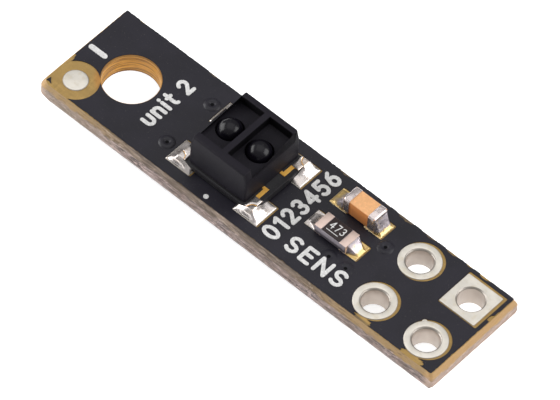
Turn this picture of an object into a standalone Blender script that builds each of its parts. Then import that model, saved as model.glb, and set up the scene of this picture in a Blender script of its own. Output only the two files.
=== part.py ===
"""Single-channel infrared reflectance sensor board, as fitted under a line follower.

Frame: +X runs along the board towards the header holes, +Y towards the long side behind the
sensor, +Z out of the sensor side. The origin is under the board's centre, level with the lowest
component of the underside. Units are metres.
"""

import math

import bmesh
import bpy
from mathutils import Matrix, Vector

MM = 0.001
GAP = 0.003 * MM            # clearance between pieces that rest on each other

# Laminate, with edges broken out of a scored panel
BOARD_LENGTH = 20.0 * MM
BOARD_WIDTH = 5.0 * MM
BOARD_THICKNESS = 0.94 * MM
SCORE_DEPTH = 0.31 * MM
SCORE_INSET = 0.13 * MM
END_SCORE_INSET = 0.17 * MM
CORNER_RADIUS = 0.14 * MM

MASK_THICKNESS = 0.025 * MM
MASK_MARGIN = 0.03 * MM
COPPER = 0.035 * MM
MASK_SHIFT = Vector((0.07, 0.03)) * MM

# The emitter switch's body hangs lowest, so it sets the height of the board
SWITCH_BODY = Vector((2.00, 1.26, 0.84)) * MM
SWITCH_STAND_OFF = 0.09 * MM
LAMINATE_BOTTOM = SWITCH_BODY.z + SWITCH_STAND_OFF + COPPER + GAP
LAMINATE_TOP = LAMINATE_BOTTOM + BOARD_THICKNESS

# Header holes on the 2.54 mm grid, and the screw hole
PITCH = 2.54 * MM
GRID_CENTRE = Vector((7.40, -0.05)) * MM
PAD_DIAMETER = 1.72 * MM
PAD_OPENING = 1.86 * MM
HOLE_BORE = 1.06 * MM
HOLE_DRILL = 1.24 * MM
SCREW_HOLE = Vector((-7.43, 0.01)) * MM
SCREW_HOLE_DIAMETER = 2.32 * MM

FIDUCIAL = Vector((-8.92, -1.49)) * MM
FIDUCIAL_DIAMETER = 1.0 * MM
FIDUCIAL_OPENING = 1.88 * MM

VIAS = [Vector(place) * MM for place in ((-4.40, 1.25), (-4.43, -1.25), (4.78, 0.80), (3.53, -0.99), (4.35, -0.97))]
VIA_DRILL = 0.36 * MM
VIA_BORE = 0.26 * MM

# Sensor module
SENSOR = Vector((-1.66, -0.03)) * MM
SENSOR_LAND = 1.20 * MM
SENSOR_LAND_SPAN = Vector((4.62, 3.66)) * MM
BASE_SIZE = Vector((3.76, 3.20, 0.32)) * MM
BASE_Z = LAMINATE_TOP + 0.08 * MM
BASE_TOP = BASE_Z + BASE_SIZE.z
CASTELLATION_RADIUS = 0.30 * MM
CONTACT_THICKNESS = 0.02 * MM
HOUSING_FOOT = Vector((2.86, 3.02)) * MM
HOUSING_SHOULDER = Vector((2.82, 3.00)) * MM
HOUSING_CROWN = Vector((2.60, 3.00)) * MM
HOUSING_TOP = LAMINATE_TOP + 1.95 * MM
CHAMBER_FLOOR = LAMINATE_TOP + 1.52 * MM
CHAMBER_ROOF = CHAMBER_FLOOR - 0.16 * MM
FRONT_WALL = 0.36 * MM
BACK_WALL = 0.26 * MM
RIB = 0.26 * MM
LENS_OFFSET = 0.745 * MM
LENS_RADIUS = 0.51 * MM
WELL_RADIUS = 0.56 * MM
LENS_CENTRE_Z = CHAMBER_FLOOR - 0.10 * MM
CHIP = 0.34 * MM
CHIP_HEIGHT = 0.16 * MM

# Two-terminal chip parts: length, width, height
CHIP_PART_LANDS = 2.56 * MM
CHIP_PART_LAND = Vector((0.83, 0.84)) * MM
CAPACITOR = Vector((3.24, 1.34)) * MM
CAPACITOR_LANDS = Vector((3.10, 1.36)) * MM
CAPACITOR_SIZE = Vector((1.58, 0.80, 0.78)) * MM
RESISTOR = Vector((3.13, -0.11)) * MM
RESISTOR_LANDS = Vector((3.10, -0.05)) * MM
RESISTOR_SIZE = Vector((1.56, 0.82, 0.42)) * MM
TERMINAL_LENGTH = 0.32 * MM
STAND_OFF = 0.03 * MM

# Emitter switch and its series resistor, on the underside
SWITCH = Vector((0.60, 0.0)) * MM
SWITCH_LEAD_PITCH = 0.65 * MM
SWITCH_SPAN = 2.16 * MM
LEAD_WIDTH = 0.30 * MM
LEAD_THICKNESS = 0.13 * MM
SERIES_RESISTOR = Vector((3.30, 0.0)) * MM
SERIES_LANDS = 2.30 * MM
SERIES_LAND = Vector((0.70, 0.84)) * MM

FINE = 40                   # facets round a hole that shows
COARSE = 16                 # facets round a small one


# ---------------------------------------------------------------- scene and materials

for stale in list(bpy.data.objects):
    bpy.data.objects.remove(stale, do_unlink=True)

parts = bpy.data.collections.new("reflectance_sensor_board")
bpy.context.scene.collection.children.link(parts)
cutters = bpy.data.collections.new("cutters")
bpy.context.scene.collection.children.link(cutters)


def linear(channel):
    """One 8-bit sRGB channel as scene-linear light."""
    value = channel / 255
    return value / 12.92 if value <= 0.04045 else ((value + 0.055) / 1.055) ** 2.4


def material(name, colour, roughness, metallic=0.0):
    made = bpy.data.materials.new(name)
    made.use_nodes = True
    shader = made.node_tree.nodes["Principled BSDF"]
    shader.inputs["Base Color"].default_value = (*[linear(channel) for channel in colour], 1.0)
    shader.inputs["Roughness"].default_value = roughness
    shader.inputs["Metallic"].default_value = metallic
    return made


LAMINATE = material("glass_epoxy_laminate", (176, 144, 92), 0.65)
MASK = material("black_solder_mask", (44, 43, 50), 0.42)
TIN = material("tinned_copper", (214, 208, 196), 0.32, 1.0)
COPPER_METAL = material("copper", (196, 122, 84), 0.35, 1.0)
SOLDER = material("solder", (205, 203, 200), 0.25, 1.0)
GOLD = material("gold_plate", (222, 168, 82), 0.28, 1.0)
HOUSING = material("black_moulded_plastic", (36, 36, 40), 0.55)
BASE = material("black_base_laminate", (30, 30, 33), 0.5)
LENS = material("dark_infrared_epoxy", (14, 12, 16), 0.08)
SILICON = material("silicon", (96, 98, 110), 0.25, 0.6)
CAPACITOR_CERAMIC = material("tan_ceramic", (222, 158, 98), 0.5)
ALUMINA = material("alumina", (206, 204, 206), 0.6)
OVERCOAT = material("black_glass_overcoat", (40, 36, 38), 0.3)
TERMINAL = material("tinned_terminal", (214, 200, 194), 0.3, 1.0)
SWITCH_RESIN = material("black_resin", (32, 32, 34), 0.5)


# ---------------------------------------------------------------- building blocks

def keep(obj, paint, smooth_angle=None):
    """Puts a finished piece in the parts collection with its material."""
    for group in list(obj.users_collection):
        group.objects.unlink(obj)
    parts.objects.link(obj)
    obj.data.materials.clear()
    obj.data.materials.append(paint)
    if smooth_angle is not None and obj.type == "MESH":
        obj.data.shade_smooth()
        obj.data.set_sharp_from_angle(angle=math.radians(smooth_angle))
    return obj


def as_cutter(obj):
    for group in list(obj.users_collection):
        group.objects.unlink(obj)
    cutters.objects.link(obj)
    obj.hide_render = True
    obj.hide_viewport = False
    obj.display_type = "WIRE"
    return obj


def mesh_object(name, shape):
    """An object from a bmesh, which is freed."""
    mesh = bpy.data.meshes.new(name)
    bmesh.ops.recalc_face_normals(shape, faces=shape.faces)
    shape.to_mesh(mesh)
    shape.free()
    obj = bpy.data.objects.new(name, mesh)
    bpy.context.scene.collection.objects.link(obj)
    return obj


def cube_into(shape, size, centre):
    return bmesh.ops.create_cube(shape, matrix=Matrix.LocRotScale(centre, None, size))["verts"]


def cylinder_into(shape, radius, centre, depth, segments=FINE, top_radius=None):
    top = radius if top_radius is None else top_radius
    place = Matrix.Translation(centre)
    return bmesh.ops.create_cone(shape, cap_ends=True, segments=segments, radius1=radius, radius2=top,
                                 depth=depth, matrix=place)["verts"]


def block(name, size, centre):
    shape = bmesh.new()
    cube_into(shape, size, centre)
    return mesh_object(name, shape)


def span(low, high):
    """Size and centre of the box between two corners."""
    low, high = Vector(low), Vector(high)
    return high - low, (low + high) / 2


def flat(name, outline, thickness, place):
    """A flat plate from a closed 2D outline, centred on its mid plane, as a mesh."""
    curve = bpy.data.curves.new(name, "CURVE")
    curve.dimensions = "2D"
    curve.fill_mode = "BOTH"
    curve.extrude = thickness / 2
    line = curve.splines.new("POLY")
    line.points.add(len(outline) - 1)
    for point, (x, y) in zip(line.points, outline):
        point.co = (x, y, 0, 1)
    line.use_cyclic_u = True
    drawn = bpy.data.objects.new(name + "_outline", curve)
    bpy.context.scene.collection.objects.link(drawn)
    drawn.matrix_world = place
    bpy.context.view_layer.update()
    mesh = bpy.data.meshes.new_from_object(drawn.evaluated_get(bpy.context.evaluated_depsgraph_get()))
    shape = bmesh.new()
    shape.from_mesh(mesh)
    bmesh.ops.remove_doubles(shape, verts=shape.verts, dist=1e-7)
    bmesh.ops.recalc_face_normals(shape, faces=shape.faces)
    shape.to_mesh(mesh)
    shape.free()
    obj = bpy.data.objects.new(name, mesh)
    obj.matrix_world = drawn.matrix_world
    bpy.context.scene.collection.objects.link(obj)
    bpy.data.objects.remove(drawn, do_unlink=True)
    return obj


def boolean(target, tool, operation="DIFFERENCE", crossing=False):
    """Cuts or joins with a tool; crossing says that the tool's own solids run into each other."""
    step = target.modifiers.new(operation.lower(), "BOOLEAN")
    step.operation = operation
    step.solver = "EXACT"
    step.use_self = crossing
    step.object = as_cutter(tool)
    return target


def soften(obj, width, segments=2, angle=40):
    step = obj.modifiers.new("soften", "BEVEL")
    step.width = width
    step.segments = segments
    step.limit_method = "ANGLE"
    step.angle_limit = math.radians(angle)
    return obj


def above(place, z):
    return Vector((place.x, place.y, z))


def header_places():
    """Centres of the four header holes; the last one has the square pad."""
    for row, column in ((1, -1), (-1, -1), (-1, 1), (1, 1)):
        yield GRID_CENTRE + Vector((column, row)) * PITCH / 2


def corner_signs():
    return ((-1, -1), (1, -1), (1, 1), (-1, 1))


# ---------------------------------------------------------------- laminate and solder mask

def circuit_board():
    shape = bmesh.new()
    web = BOARD_THICKNESS - 2 * SCORE_DEPTH
    centre = Vector((0, 0, LAMINATE_BOTTOM + BOARD_THICKNESS / 2))
    cube_into(shape, (BOARD_LENGTH, BOARD_WIDTH, web), centre)
    upright = [edge for edge in shape.edges if abs(edge.verts[0].co.z - edge.verts[1].co.z) > web / 2]
    bmesh.ops.bevel(shape, geom=upright, offset=CORNER_RADIUS, segments=4, profile=0.5,
                    affect="EDGES", material=-1)
    inset = Matrix.Diagonal((1 - 2 * END_SCORE_INSET / BOARD_LENGTH, 1 - 2 * SCORE_INSET / BOARD_WIDTH, 1, 1))
    for side in (1, -1):
        face = max(shape.faces, key=lambda item: side * item.calc_center_median().z)
        grown = bmesh.ops.extrude_face_region(shape, geom=[face])["geom"]
        verts = [item for item in grown if isinstance(item, bmesh.types.BMVert)]
        bmesh.ops.transform(shape, matrix=inset, verts=verts)
        bmesh.ops.translate(shape, vec=(0, 0, side * SCORE_DEPTH), verts=verts)
        bmesh.ops.delete(shape, geom=[face], context="FACES_ONLY")
    board = mesh_object("circuit_board", shape)
    drills = bmesh.new()
    depth = 2 * BOARD_THICKNESS
    cylinder_into(drills, SCREW_HOLE_DIAMETER / 2, above(SCREW_HOLE, centre.z), depth, 64)
    for place in header_places():
        cylinder_into(drills, HOLE_DRILL / 2, above(place, centre.z), depth, FINE)
    for place in VIAS:
        cylinder_into(drills, VIA_DRILL / 2, above(place, centre.z), depth, COARSE)
    boolean(board, mesh_object("board_drills", drills))
    keep(board, LAMINATE, 30)


def mask_openings(name, z, side):
    """One cutter with every opening of a mask layer; side is 1 for the sensor face."""
    shape = bmesh.new()
    depth = 8 * MASK_THICKNESS
    clear = 2 * 0.06 * MM
    cylinder_into(shape, SCREW_HOLE_DIAMETER / 2 + 0.02 * MM, above(SCREW_HOLE, z), depth, 64)
    for number, place in enumerate(header_places()):
        spot = above(place + MASK_SHIFT * side, z)
        if number == 3:
            cube_into(shape, (PAD_OPENING, PAD_OPENING, depth), spot)
        else:
            cylinder_into(shape, PAD_OPENING / 2, spot, depth)
    if side > 0:
        cylinder_into(shape, FIDUCIAL_OPENING / 2, above(FIDUCIAL, z), depth)
        corner = FIDUCIAL + Vector((-0.9, -0.75)) * MM
        cube_into(shape, (1.8 * MM, 1.5 * MM, depth), above(corner, z))
        for place in land_places():
            cube_into(shape, (SENSOR_LAND + clear, SENSOR_LAND + clear, depth), above(place, z))
        for pair in (CAPACITOR_LANDS, RESISTOR_LANDS):
            for place in chip_land_places(pair, CHIP_PART_LANDS, CHIP_PART_LAND, 0):
                cube_into(shape, (CHIP_PART_LAND.x + clear, CHIP_PART_LAND.y + clear, depth), above(place, z))
    else:
        for place in switch_land_places():
            cube_into(shape, (0.62 * MM, 0.72 * MM, depth), above(place, z))
        for place in chip_land_places(SERIES_RESISTOR, SERIES_LANDS, SERIES_LAND, 90):
            cube_into(shape, (SERIES_LAND.y + clear, SERIES_LAND.x + clear, depth), above(place, z))
    return mesh_object(name, shape)


def solder_mask(name, side):
    z = LAMINATE_TOP + GAP + MASK_THICKNESS / 2 if side > 0 else LAMINATE_BOTTOM - GAP - MASK_THICKNESS / 2
    length = BOARD_LENGTH - 2 * END_SCORE_INSET - 2 * MASK_MARGIN
    width = BOARD_WIDTH - 2 * SCORE_INSET - 2 * MASK_MARGIN
    layer = block(name, (length, width, MASK_THICKNESS), Vector((0, 0, z)))
    boolean(layer, mask_openings(name + "_openings", z, side), crossing=True)
    keep(layer, MASK)


# ---------------------------------------------------------------- copper features

def plated_hole(number, place):
    """A barrel with a pad on each face; the fourth pad is square and marks pin 1."""
    square = number == 4
    rings = bmesh.new()
    for z in (LAMINATE_TOP + GAP + COPPER / 2, LAMINATE_BOTTOM - GAP - COPPER / 2):
        if square:
            cube_into(rings, (PAD_DIAMETER, PAD_DIAMETER, COPPER), above(place, z))
        else:
            cylinder_into(rings, PAD_DIAMETER / 2, above(place, z), COPPER)
    pads = mesh_object(f"plated_hole_{number}", rings)
    height = BOARD_THICKNESS + 2 * GAP + COPPER
    middle = above(place, LAMINATE_BOTTOM + BOARD_THICKNESS / 2)
    barrel = bmesh.new()
    cylinder_into(barrel, HOLE_DRILL / 2 - GAP, middle, height)
    boolean(pads, mesh_object(f"barrel_{number}", barrel), "UNION")
    bore = bmesh.new()
    cylinder_into(bore, HOLE_BORE / 2, middle, 2 * height)
    boolean(pads, mesh_object(f"bore_{number}", bore))
    keep(pads, TIN, 40)


def via(number, place):
    shape = bmesh.new()
    middle = above(place, LAMINATE_BOTTOM + BOARD_THICKNESS / 2)
    cylinder_into(shape, VIA_DRILL / 2 - GAP, middle, BOARD_THICKNESS, COARSE)
    barrel = mesh_object(f"via_{number}", shape)
    bore = bmesh.new()
    cylinder_into(bore, VIA_BORE / 2, middle, 2 * BOARD_THICKNESS, COARSE)
    boolean(barrel, mesh_object(f"via_bore_{number}", bore))
    keep(barrel, COPPER_METAL, 40)


def land_places():
    for x, y in corner_signs():
        half = (SENSOR_LAND_SPAN - Vector((SENSOR_LAND, SENSOR_LAND))) / 2
        yield Vector((SENSOR.x + x * half.x, SENSOR.y + y * half.y))


def chip_land_places(centre, span_length, land, turn):
    """The two land centres of a chip part that lies along X, or along Y when turned."""
    step = (span_length - land.x) / 2
    along = Vector((step, 0)) if turn == 0 else Vector((0, step))
    return centre - along, centre + along


def switch_land_places():
    reach = SWITCH_SPAN / 2 - 0.02 * MM
    for x, y in ((-1, -1), (1, -1), (0, 1)):
        yield SWITCH + Vector((x * SWITCH_LEAD_PITCH, y * reach))


def land(name, place, size, side=1):
    z = LAMINATE_TOP + GAP + COPPER / 2 if side > 0 else LAMINATE_BOTTOM - GAP - COPPER / 2
    keep(block(name, (size[0], size[1], COPPER), above(place, z)), TIN)


def fiducial():
    shape = bmesh.new()
    cylinder_into(shape, FIDUCIAL_DIAMETER / 2, above(FIDUCIAL, LAMINATE_TOP + GAP + COPPER / 2), COPPER)
    keep(mesh_object("fiducial_dot", shape), TIN, 40)


# ---------------------------------------------------------------- sensor module

def sensor_base():
    centre = above(SENSOR, BASE_Z + BASE_SIZE.z / 2)
    base = block("sensor_base", BASE_SIZE, centre)
    notches = bmesh.new()
    for x, y in corner_signs():
        corner = centre + Vector((x * BASE_SIZE.x / 2, y * BASE_SIZE.y / 2, 0))
        cylinder_into(notches, CASTELLATION_RADIUS, corner, 2 * BASE_SIZE.z, 32)
    boolean(base, mesh_object("castellations", notches))
    keep(base, BASE)


def quarter_arc(radius, margin=0.006 * MM, steps=8):
    """Points of a quarter circle about a corner, held just off both of its sides."""
    edge = math.asin(margin / radius)
    turns = [edge + (math.pi / 2 - 2 * edge) * step / steps for step in range(steps + 1)]
    return [(radius * math.cos(turn), radius * math.sin(turn)) for turn in turns]


def sensor_contact(number, x, y):
    """Gold pad on the base, run down the castellation to a pad beneath."""
    corner = Vector((SENSOR.x + x * BASE_SIZE.x / 2, SENSOR.y + y * BASE_SIZE.y / 2))
    top = BASE_TOP + GAP + CONTACT_THICKNESS / 2
    bottom = BASE_Z - GAP - CONTACT_THICKNESS / 2
    inside = CASTELLATION_RADIUS - 0.035 * MM
    rim = quarter_arc(CASTELLATION_RADIUS - 0.016 * MM)
    strip = [(0.006, 0.60), (0.19, 0.60), (0.19, 1.17), (0.44, 1.17), (0.44, 1.04), (0.36, 1.04), (0.36, 0.006)]
    under = [(0.006, 0.50), (0.50, 0.50), (0.50, 0.006)]

    def layer(tag, outline, z, thickness):
        """A plate drawn by its distances inwards from the base's corner."""
        turned = [(corner.x - x * u, corner.y - y * v) for u, v in outline]
        return flat(f"{tag}_{number}", turned, thickness, Matrix.Translation((0, 0, z)))

    contact = layer("sensor_contact", rim + [(u * MM, v * MM) for u, v in strip], top, CONTACT_THICKNESS)
    wall = quarter_arc(inside, 0.014 * MM) + quarter_arc(CASTELLATION_RADIUS - GAP, 0.014 * MM)[::-1]
    boolean(contact, layer("wall", wall, (top + bottom) / 2, top - bottom + 0.012 * MM), "UNION")
    boolean(contact, layer("under", rim + [(u * MM, v * MM) for u, v in under], bottom, CONTACT_THICKNESS), "UNION")
    keep(contact, GOLD, 40)


def sensor_solder(number, x, y):
    """Solder spread over the open part of a land and drawn up into the castellation."""
    half = SENSOR_LAND_SPAN / 2
    z = LAMINATE_TOP + 2 * GAP + COPPER
    thick = 0.03 * MM
    edge = 0.03 * MM
    outer = Vector((SENSOR.x + x * (half.x - edge), SENSOR.y + y * (half.y - edge)))
    corner = Vector((SENSOR.x + x * BASE_SIZE.x / 2, SENSOR.y + y * BASE_SIZE.y / 2))
    clear = 0.012 * MM
    inner_x = corner.x + x * clear
    inner_y = corner.y + y * clear
    far_x = outer.x - x * (SENSOR_LAND - 2 * edge)
    far_y = outer.y - y * (SENSOR_LAND - 2 * edge)
    outline = [(outer.x, outer.y), (outer.x, far_y), (inner_x, far_y), (inner_x, inner_y),
               (far_x, inner_y), (far_x, outer.y)]
    film = flat(f"sensor_solder_{number}", outline, thick, Matrix.Translation((0, 0, z + thick / 2)))
    mound = bmesh.new()
    radius = CASTELLATION_RADIUS - 0.035 * MM - GAP
    height = 0.33 * MM
    cylinder_into(mound, radius, above(corner, z + height / 2), height, 24, top_radius=0.09 * MM)
    boolean(film, mesh_object(f"mound_{number}", mound), "UNION")
    keep(film, SOLDER, 40)


def sensor_housing():
    """Shroud with two chambers open at the ends, a rib between them and a pocket under each."""
    shape = bmesh.new()
    bottom = BASE_TOP + GAP
    levels = ((HOUSING_SHOULDER, CHAMBER_FLOOR), (HOUSING_CROWN, HOUSING_TOP))
    size, centre = span(above(SENSOR - HOUSING_FOOT / 2, bottom),
                        above(SENSOR + HOUSING_FOOT / 2, bottom + 0.2 * MM))
    cube_into(shape, size, centre)
    to_middle = Matrix.Translation(above(-SENSOR, 0))
    last = HOUSING_FOOT
    low = bottom + 0.2 * MM
    for footprint, height in levels:
        face = max(shape.faces, key=lambda item: item.calc_center_median().z)
        grown = bmesh.ops.extrude_face_region(shape, geom=[face])["geom"]
        verts = [item for item in grown if isinstance(item, bmesh.types.BMVert)]
        bmesh.ops.translate(shape, vec=(0, 0, height - low), verts=verts)
        ratio = Matrix.Diagonal((footprint.x / last.x, footprint.y / last.y, 1, 1))
        bmesh.ops.transform(shape, matrix=ratio, space=to_middle, verts=verts)
        bmesh.ops.delete(shape, geom=[face], context="FACES_ONLY")
        last, low = footprint, height
    rims = [edge for edge in shape.edges if len(edge.link_faces) == 2 and edge.calc_face_angle() > 1.0
            and max(vert.co.z for vert in edge.verts) > bottom + 0.01 * MM]
    bmesh.ops.bevel(shape, geom=rims, offset=0.09 * MM, segments=3, profile=0.5, affect="EDGES", material=-1)
    housing = mesh_object("sensor_housing", shape)
    hollow = bmesh.new()
    front = SENSOR.y - HOUSING_CROWN.y / 2 + FRONT_WALL
    back = SENSOR.y + HOUSING_CROWN.y / 2 - BACK_WALL
    for side in (-1, 1):
        near = SENSOR.x + side * RIB / 2
        far = SENSOR.x + side * HOUSING_FOOT.x
        size, centre = span((min(near, far), front, CHAMBER_FLOOR), (max(near, far), back, HOUSING_TOP + 1 * MM))
        cube_into(hollow, size, centre)
    boolean(housing, mesh_object("chambers", hollow))
    pockets = bmesh.new()
    for side in (-1, 1):
        near = SENSOR.x + side * 0.13 * MM
        far = SENSOR.x + side * 1.32 * MM
        size, centre = span((min(near, far), SENSOR.y - 1.30 * MM, bottom - 0.2 * MM),
                            (max(near, far), SENSOR.y + 1.30 * MM, CHAMBER_ROOF))
        cube_into(pockets, size, centre)
    boolean(housing, mesh_object("pockets", pockets))
    wells = bmesh.new()
    for side in (-1, 1):
        spot = Vector((SENSOR.x + side * LENS_OFFSET, SENSOR.y, CHAMBER_FLOOR))
        cylinder_into(wells, WELL_RADIUS, spot, 0.5 * MM)
    boolean(housing, mesh_object("wells", wells))
    keep(housing, HOUSING, 35)


def lens(name, side):
    """Moulded epoxy body with a domed top and a recess beneath for its chip."""
    spot = Vector((SENSOR.x + side * LENS_OFFSET, SENSOR.y))
    profile = [(math.cos(turn) * LENS_RADIUS, LENS_CENTRE_Z + math.sin(turn) * LENS_RADIUS)
               for turn in (math.radians(90 - 10 * step) for step in range(10))]
    profile += [(LENS_RADIUS + 0.03 * MM, LENS_CENTRE_Z - 0.02 * MM),
                (LENS_RADIUS + 0.03 * MM, CHAMBER_ROOF - 0.25 * MM), (0.0, CHAMBER_ROOF - 0.25 * MM)]
    profile[0] = (0.0, profile[0][1])
    shape = bmesh.new()
    verts = [shape.verts.new((x, 0, z)) for x, z in profile]
    for pair in zip(verts, verts[1:]):
        shape.edges.new(pair)
    mesh = bpy.data.meshes.new(name)
    shape.to_mesh(mesh)
    shape.free()
    body = bpy.data.objects.new(name, mesh)
    bpy.context.scene.collection.objects.link(body)
    body.location = above(spot, 0)
    turn = body.modifiers.new("turn", "SCREW")
    turn.steps = turn.render_steps = 32
    turn.use_merge_vertices = True
    turn.merge_threshold = 1e-7
    turn.use_normal_calculate = True
    low = BASE_TOP + GAP
    size = (0.98 * MM, 2.40 * MM, CHAMBER_ROOF - 0.06 * MM - low)
    boolean(body, block(name + "_body", size, above(spot, low + size[2] / 2)), "UNION")
    recess = (0.50 * MM, 0.84 * MM, 0.42 * MM)
    boolean(body, block(name + "_recess", recess, above(spot + Vector((0, 0.14 * MM)), low)))
    keep(body, LENS, 35)


def chip_and_wire(name, side):
    spot = Vector((SENSOR.x + side * LENS_OFFSET, SENSOR.y))
    low = BASE_TOP + GAP
    keep(block(f"{name}_chip", (CHIP, CHIP, CHIP_HEIGHT), above(spot, low + CHIP_HEIGHT / 2)), SILICON)
    curve = bpy.data.curves.new(f"{name}_bond_wire", "CURVE")
    curve.dimensions = "3D"
    curve.bevel_depth = 0.0125 * MM
    curve.bevel_resolution = 2
    curve.use_fill_caps = True
    start = low + CHIP_HEIGHT + GAP
    line = curve.splines.new("POLY")
    reach, crest, steps = 0.36 * MM, 0.028 * MM, 10
    ends = [(0.04 * MM, start), (0.04 * MM, start + 0.004 * MM)]
    arch = []
    for step in range(1, steps):
        share = step / steps
        arch.append((0.04 * MM + reach * share,
                     start + 0.004 * MM + crest * math.sin(math.pi * min(share * 1.6, 1)) - CHIP_HEIGHT * share ** 2))
    ends += arch + [(0.04 * MM + reach, low + 0.004 * MM), (0.04 * MM + reach, low)]
    line.points.add(len(ends) - 1)
    for point, (y, z) in zip(line.points, ends):
        point.co = (0, y, z, 1)
    wire = bpy.data.objects.new(f"{name}_bond_wire", curve)
    wire.location = above(spot, 0)
    keep(wire, GOLD)


# ---------------------------------------------------------------- chip parts

def fillet(name, place, outwards, width, run, rise, z, turn=0):
    """A concave wedge of solder from a terminal's end face down to its land's edge."""
    steps = 6
    outline = [(0, 0), (run, 0)]
    for step in range(1, steps + 1):
        share = step / steps
        outline.append((run * (1 - share) ** 1.6, rise * share ** 1.4 + 0.01 * MM))
    outline = [(outwards * x, y) for x, y in outline]
    spin = Matrix.Rotation(math.radians(turn), 4, "Z")
    stand = Matrix.Rotation(math.radians(90), 4, "X")
    wedge = flat(name, outline, width, Matrix.Translation(above(place, z)) @ spin @ stand)
    keep(wedge, SOLDER, 50)


def chip_lands(name, centre):
    for number, place in enumerate(chip_land_places(centre, CHIP_PART_LANDS, CHIP_PART_LAND, 0), 1):
        land(f"{name}_land_{number}", place, CHIP_PART_LAND)


def chip_fillets(name, part, size, lands, rises):
    """A wedge at each end, reaching from the terminal to just inside the land's edge."""
    z = LAMINATE_TOP + 2 * GAP + COPPER
    for number, side in enumerate((-1, 1), 1):
        face = part.x + side * (size.x / 2 + GAP)
        edge = lands.x + side * (CHIP_PART_LANDS / 2 - 0.03 * MM)
        fillet(f"{name}_solder_{number}", Vector((face, part.y)), side, size.y - 0.06 * MM,
               abs(edge - face), rises[number - 1] * MM, z)


def capacitor():
    bottom = LAMINATE_TOP + GAP + COPPER + STAND_OFF
    middle = above(CAPACITOR, bottom + CAPACITOR_SIZE.z / 2)
    wall = 0.025 * MM
    core = CAPACITOR_SIZE - Vector((2, 2, 2)) * wall
    body = block("capacitor_body", core, middle)
    soften(body, 0.03 * MM, 2)
    keep(body, CAPACITOR_CERAMIC)
    pocket = core + Vector((2, 2, 2)) * GAP
    for number, side in enumerate((-1, 1), 1):
        place = middle + Vector((side * (CAPACITOR_SIZE.x - TERMINAL_LENGTH) / 2, 0, 0))
        cap = block(f"capacitor_terminal_{number}",
                    (TERMINAL_LENGTH, CAPACITOR_SIZE.y, CAPACITOR_SIZE.z), place)
        soften(cap, 0.022 * MM, 2)
        boolean(cap, block(f"capacitor_pocket_{number}", pocket, middle))
        keep(cap, TERMINAL, 40)
    chip_lands("capacitor", CAPACITOR_LANDS)
    chip_fillets("capacitor", CAPACITOR, CAPACITOR_SIZE, CAPACITOR_LANDS, (0.30, 0.58))


def resistor(name, place, turn, side, coated=True):
    """Thick-film chip: ceramic plate, black coat on its outer face and a C-shaped strap at each end."""
    strap = 0.025 * MM
    size = RESISTOR_SIZE
    if side > 0:
        middle_z = LAMINATE_TOP + GAP + COPPER + STAND_OFF + size.z / 2
    else:
        middle_z = LAMINATE_BOTTOM - GAP - COPPER - STAND_OFF - size.z / 2
    spin = Matrix.Translation(above(place, middle_z)) @ Matrix.Rotation(math.radians(turn), 4, "Z")
    core = Vector((size.x - 2 * strap, size.y, size.z - 2 * strap))

    def set_piece(tag, extent, shift, paint, soft=0.0):
        piece = block(f"{name}_{tag}", extent, Vector((0, 0, 0)))
        piece.matrix_world = spin @ Matrix.Translation(shift)
        if soft:
            soften(piece, soft)
        return keep(piece, paint)

    set_piece("substrate", core, Vector((0, 0, 0)), ALUMINA)
    if coated:
        coat = strap * 0.9
        coat_length = size.x - 2 * TERMINAL_LENGTH - 0.04 * MM
        set_piece("overcoat", (coat_length, size.y - 0.04 * MM, coat),
                  Vector((0, 0, side * (core.z / 2 + GAP + coat / 2))), OVERCOAT)
    for number, end in enumerate((-1, 1), 1):
        shift = Vector((end * (size.x - TERMINAL_LENGTH) / 2, 0, 0))
        cap = set_piece(f"terminal_{number}", (TERMINAL_LENGTH, size.y - 0.02 * MM, size.z), shift, TERMINAL)
        slot = block(f"{name}_slot_{number}", (core.x + 2 * GAP, size.y * 2, core.z + 2 * GAP), Vector((0, 0, 0)))
        slot.matrix_world = spin
        boolean(cap, slot)


# ---------------------------------------------------------------- underside parts

def emitter_switch():
    """Three-lead moulded transistor, hanging under the board."""
    top = LAMINATE_BOTTOM - GAP - COPPER - SWITCH_STAND_OFF
    size = SWITCH_BODY
    shape = bmesh.new()
    verts = cube_into(shape, size, above(SWITCH, top - size.z / 2))
    for vert in verts:
        if vert.co.z > top - size.z / 2:
            vert.co.x = SWITCH.x + (vert.co.x - SWITCH.x) * 0.97
            vert.co.y = SWITCH.y + (vert.co.y - SWITCH.y) * 0.95
    edges = [edge for edge in shape.edges if all(vert.co.z < top - size.z / 2 for vert in edge.verts)]
    bmesh.ops.bevel(shape, geom=edges, offset=0.05 * MM, segments=2, profile=0.5, affect="EDGES", material=-1)
    keep(mesh_object("emitter_switch_body", shape), SWITCH_RESIN)

    foot = LAMINATE_BOTTOM - 2 * GAP - COPPER
    shoulder = top - size.z * 0.45
    for number, place in enumerate(switch_land_places(), 1):
        side = 1 if place.y > SWITCH.y else -1
        start = size.y / 2 + 0.006 * MM
        knee = start + 0.09 * MM
        tip = SWITCH_SPAN / 2 + 0.12 * MM
        outline = [(start, shoulder), (knee + LEAD_THICKNESS, shoulder), (knee + LEAD_THICKNESS, foot - LEAD_THICKNESS),
                   (tip, foot - LEAD_THICKNESS), (tip, foot), (knee, foot),
                   (knee, shoulder + LEAD_THICKNESS), (start, shoulder + LEAD_THICKNESS)]
        outline = [(side * y, z) for y, z in outline]
        turn = Matrix.Rotation(math.radians(90), 4, "Z") @ Matrix.Rotation(math.radians(90), 4, "X")
        lead = flat(f"emitter_switch_lead_{number}", outline, LEAD_WIDTH,
                    Matrix.Translation((place.x, SWITCH.y, 0)) @ turn)
        keep(lead, TERMINAL)
        land(f"emitter_switch_land_{number}", place, (0.50 * MM, 0.60 * MM), -1)


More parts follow.
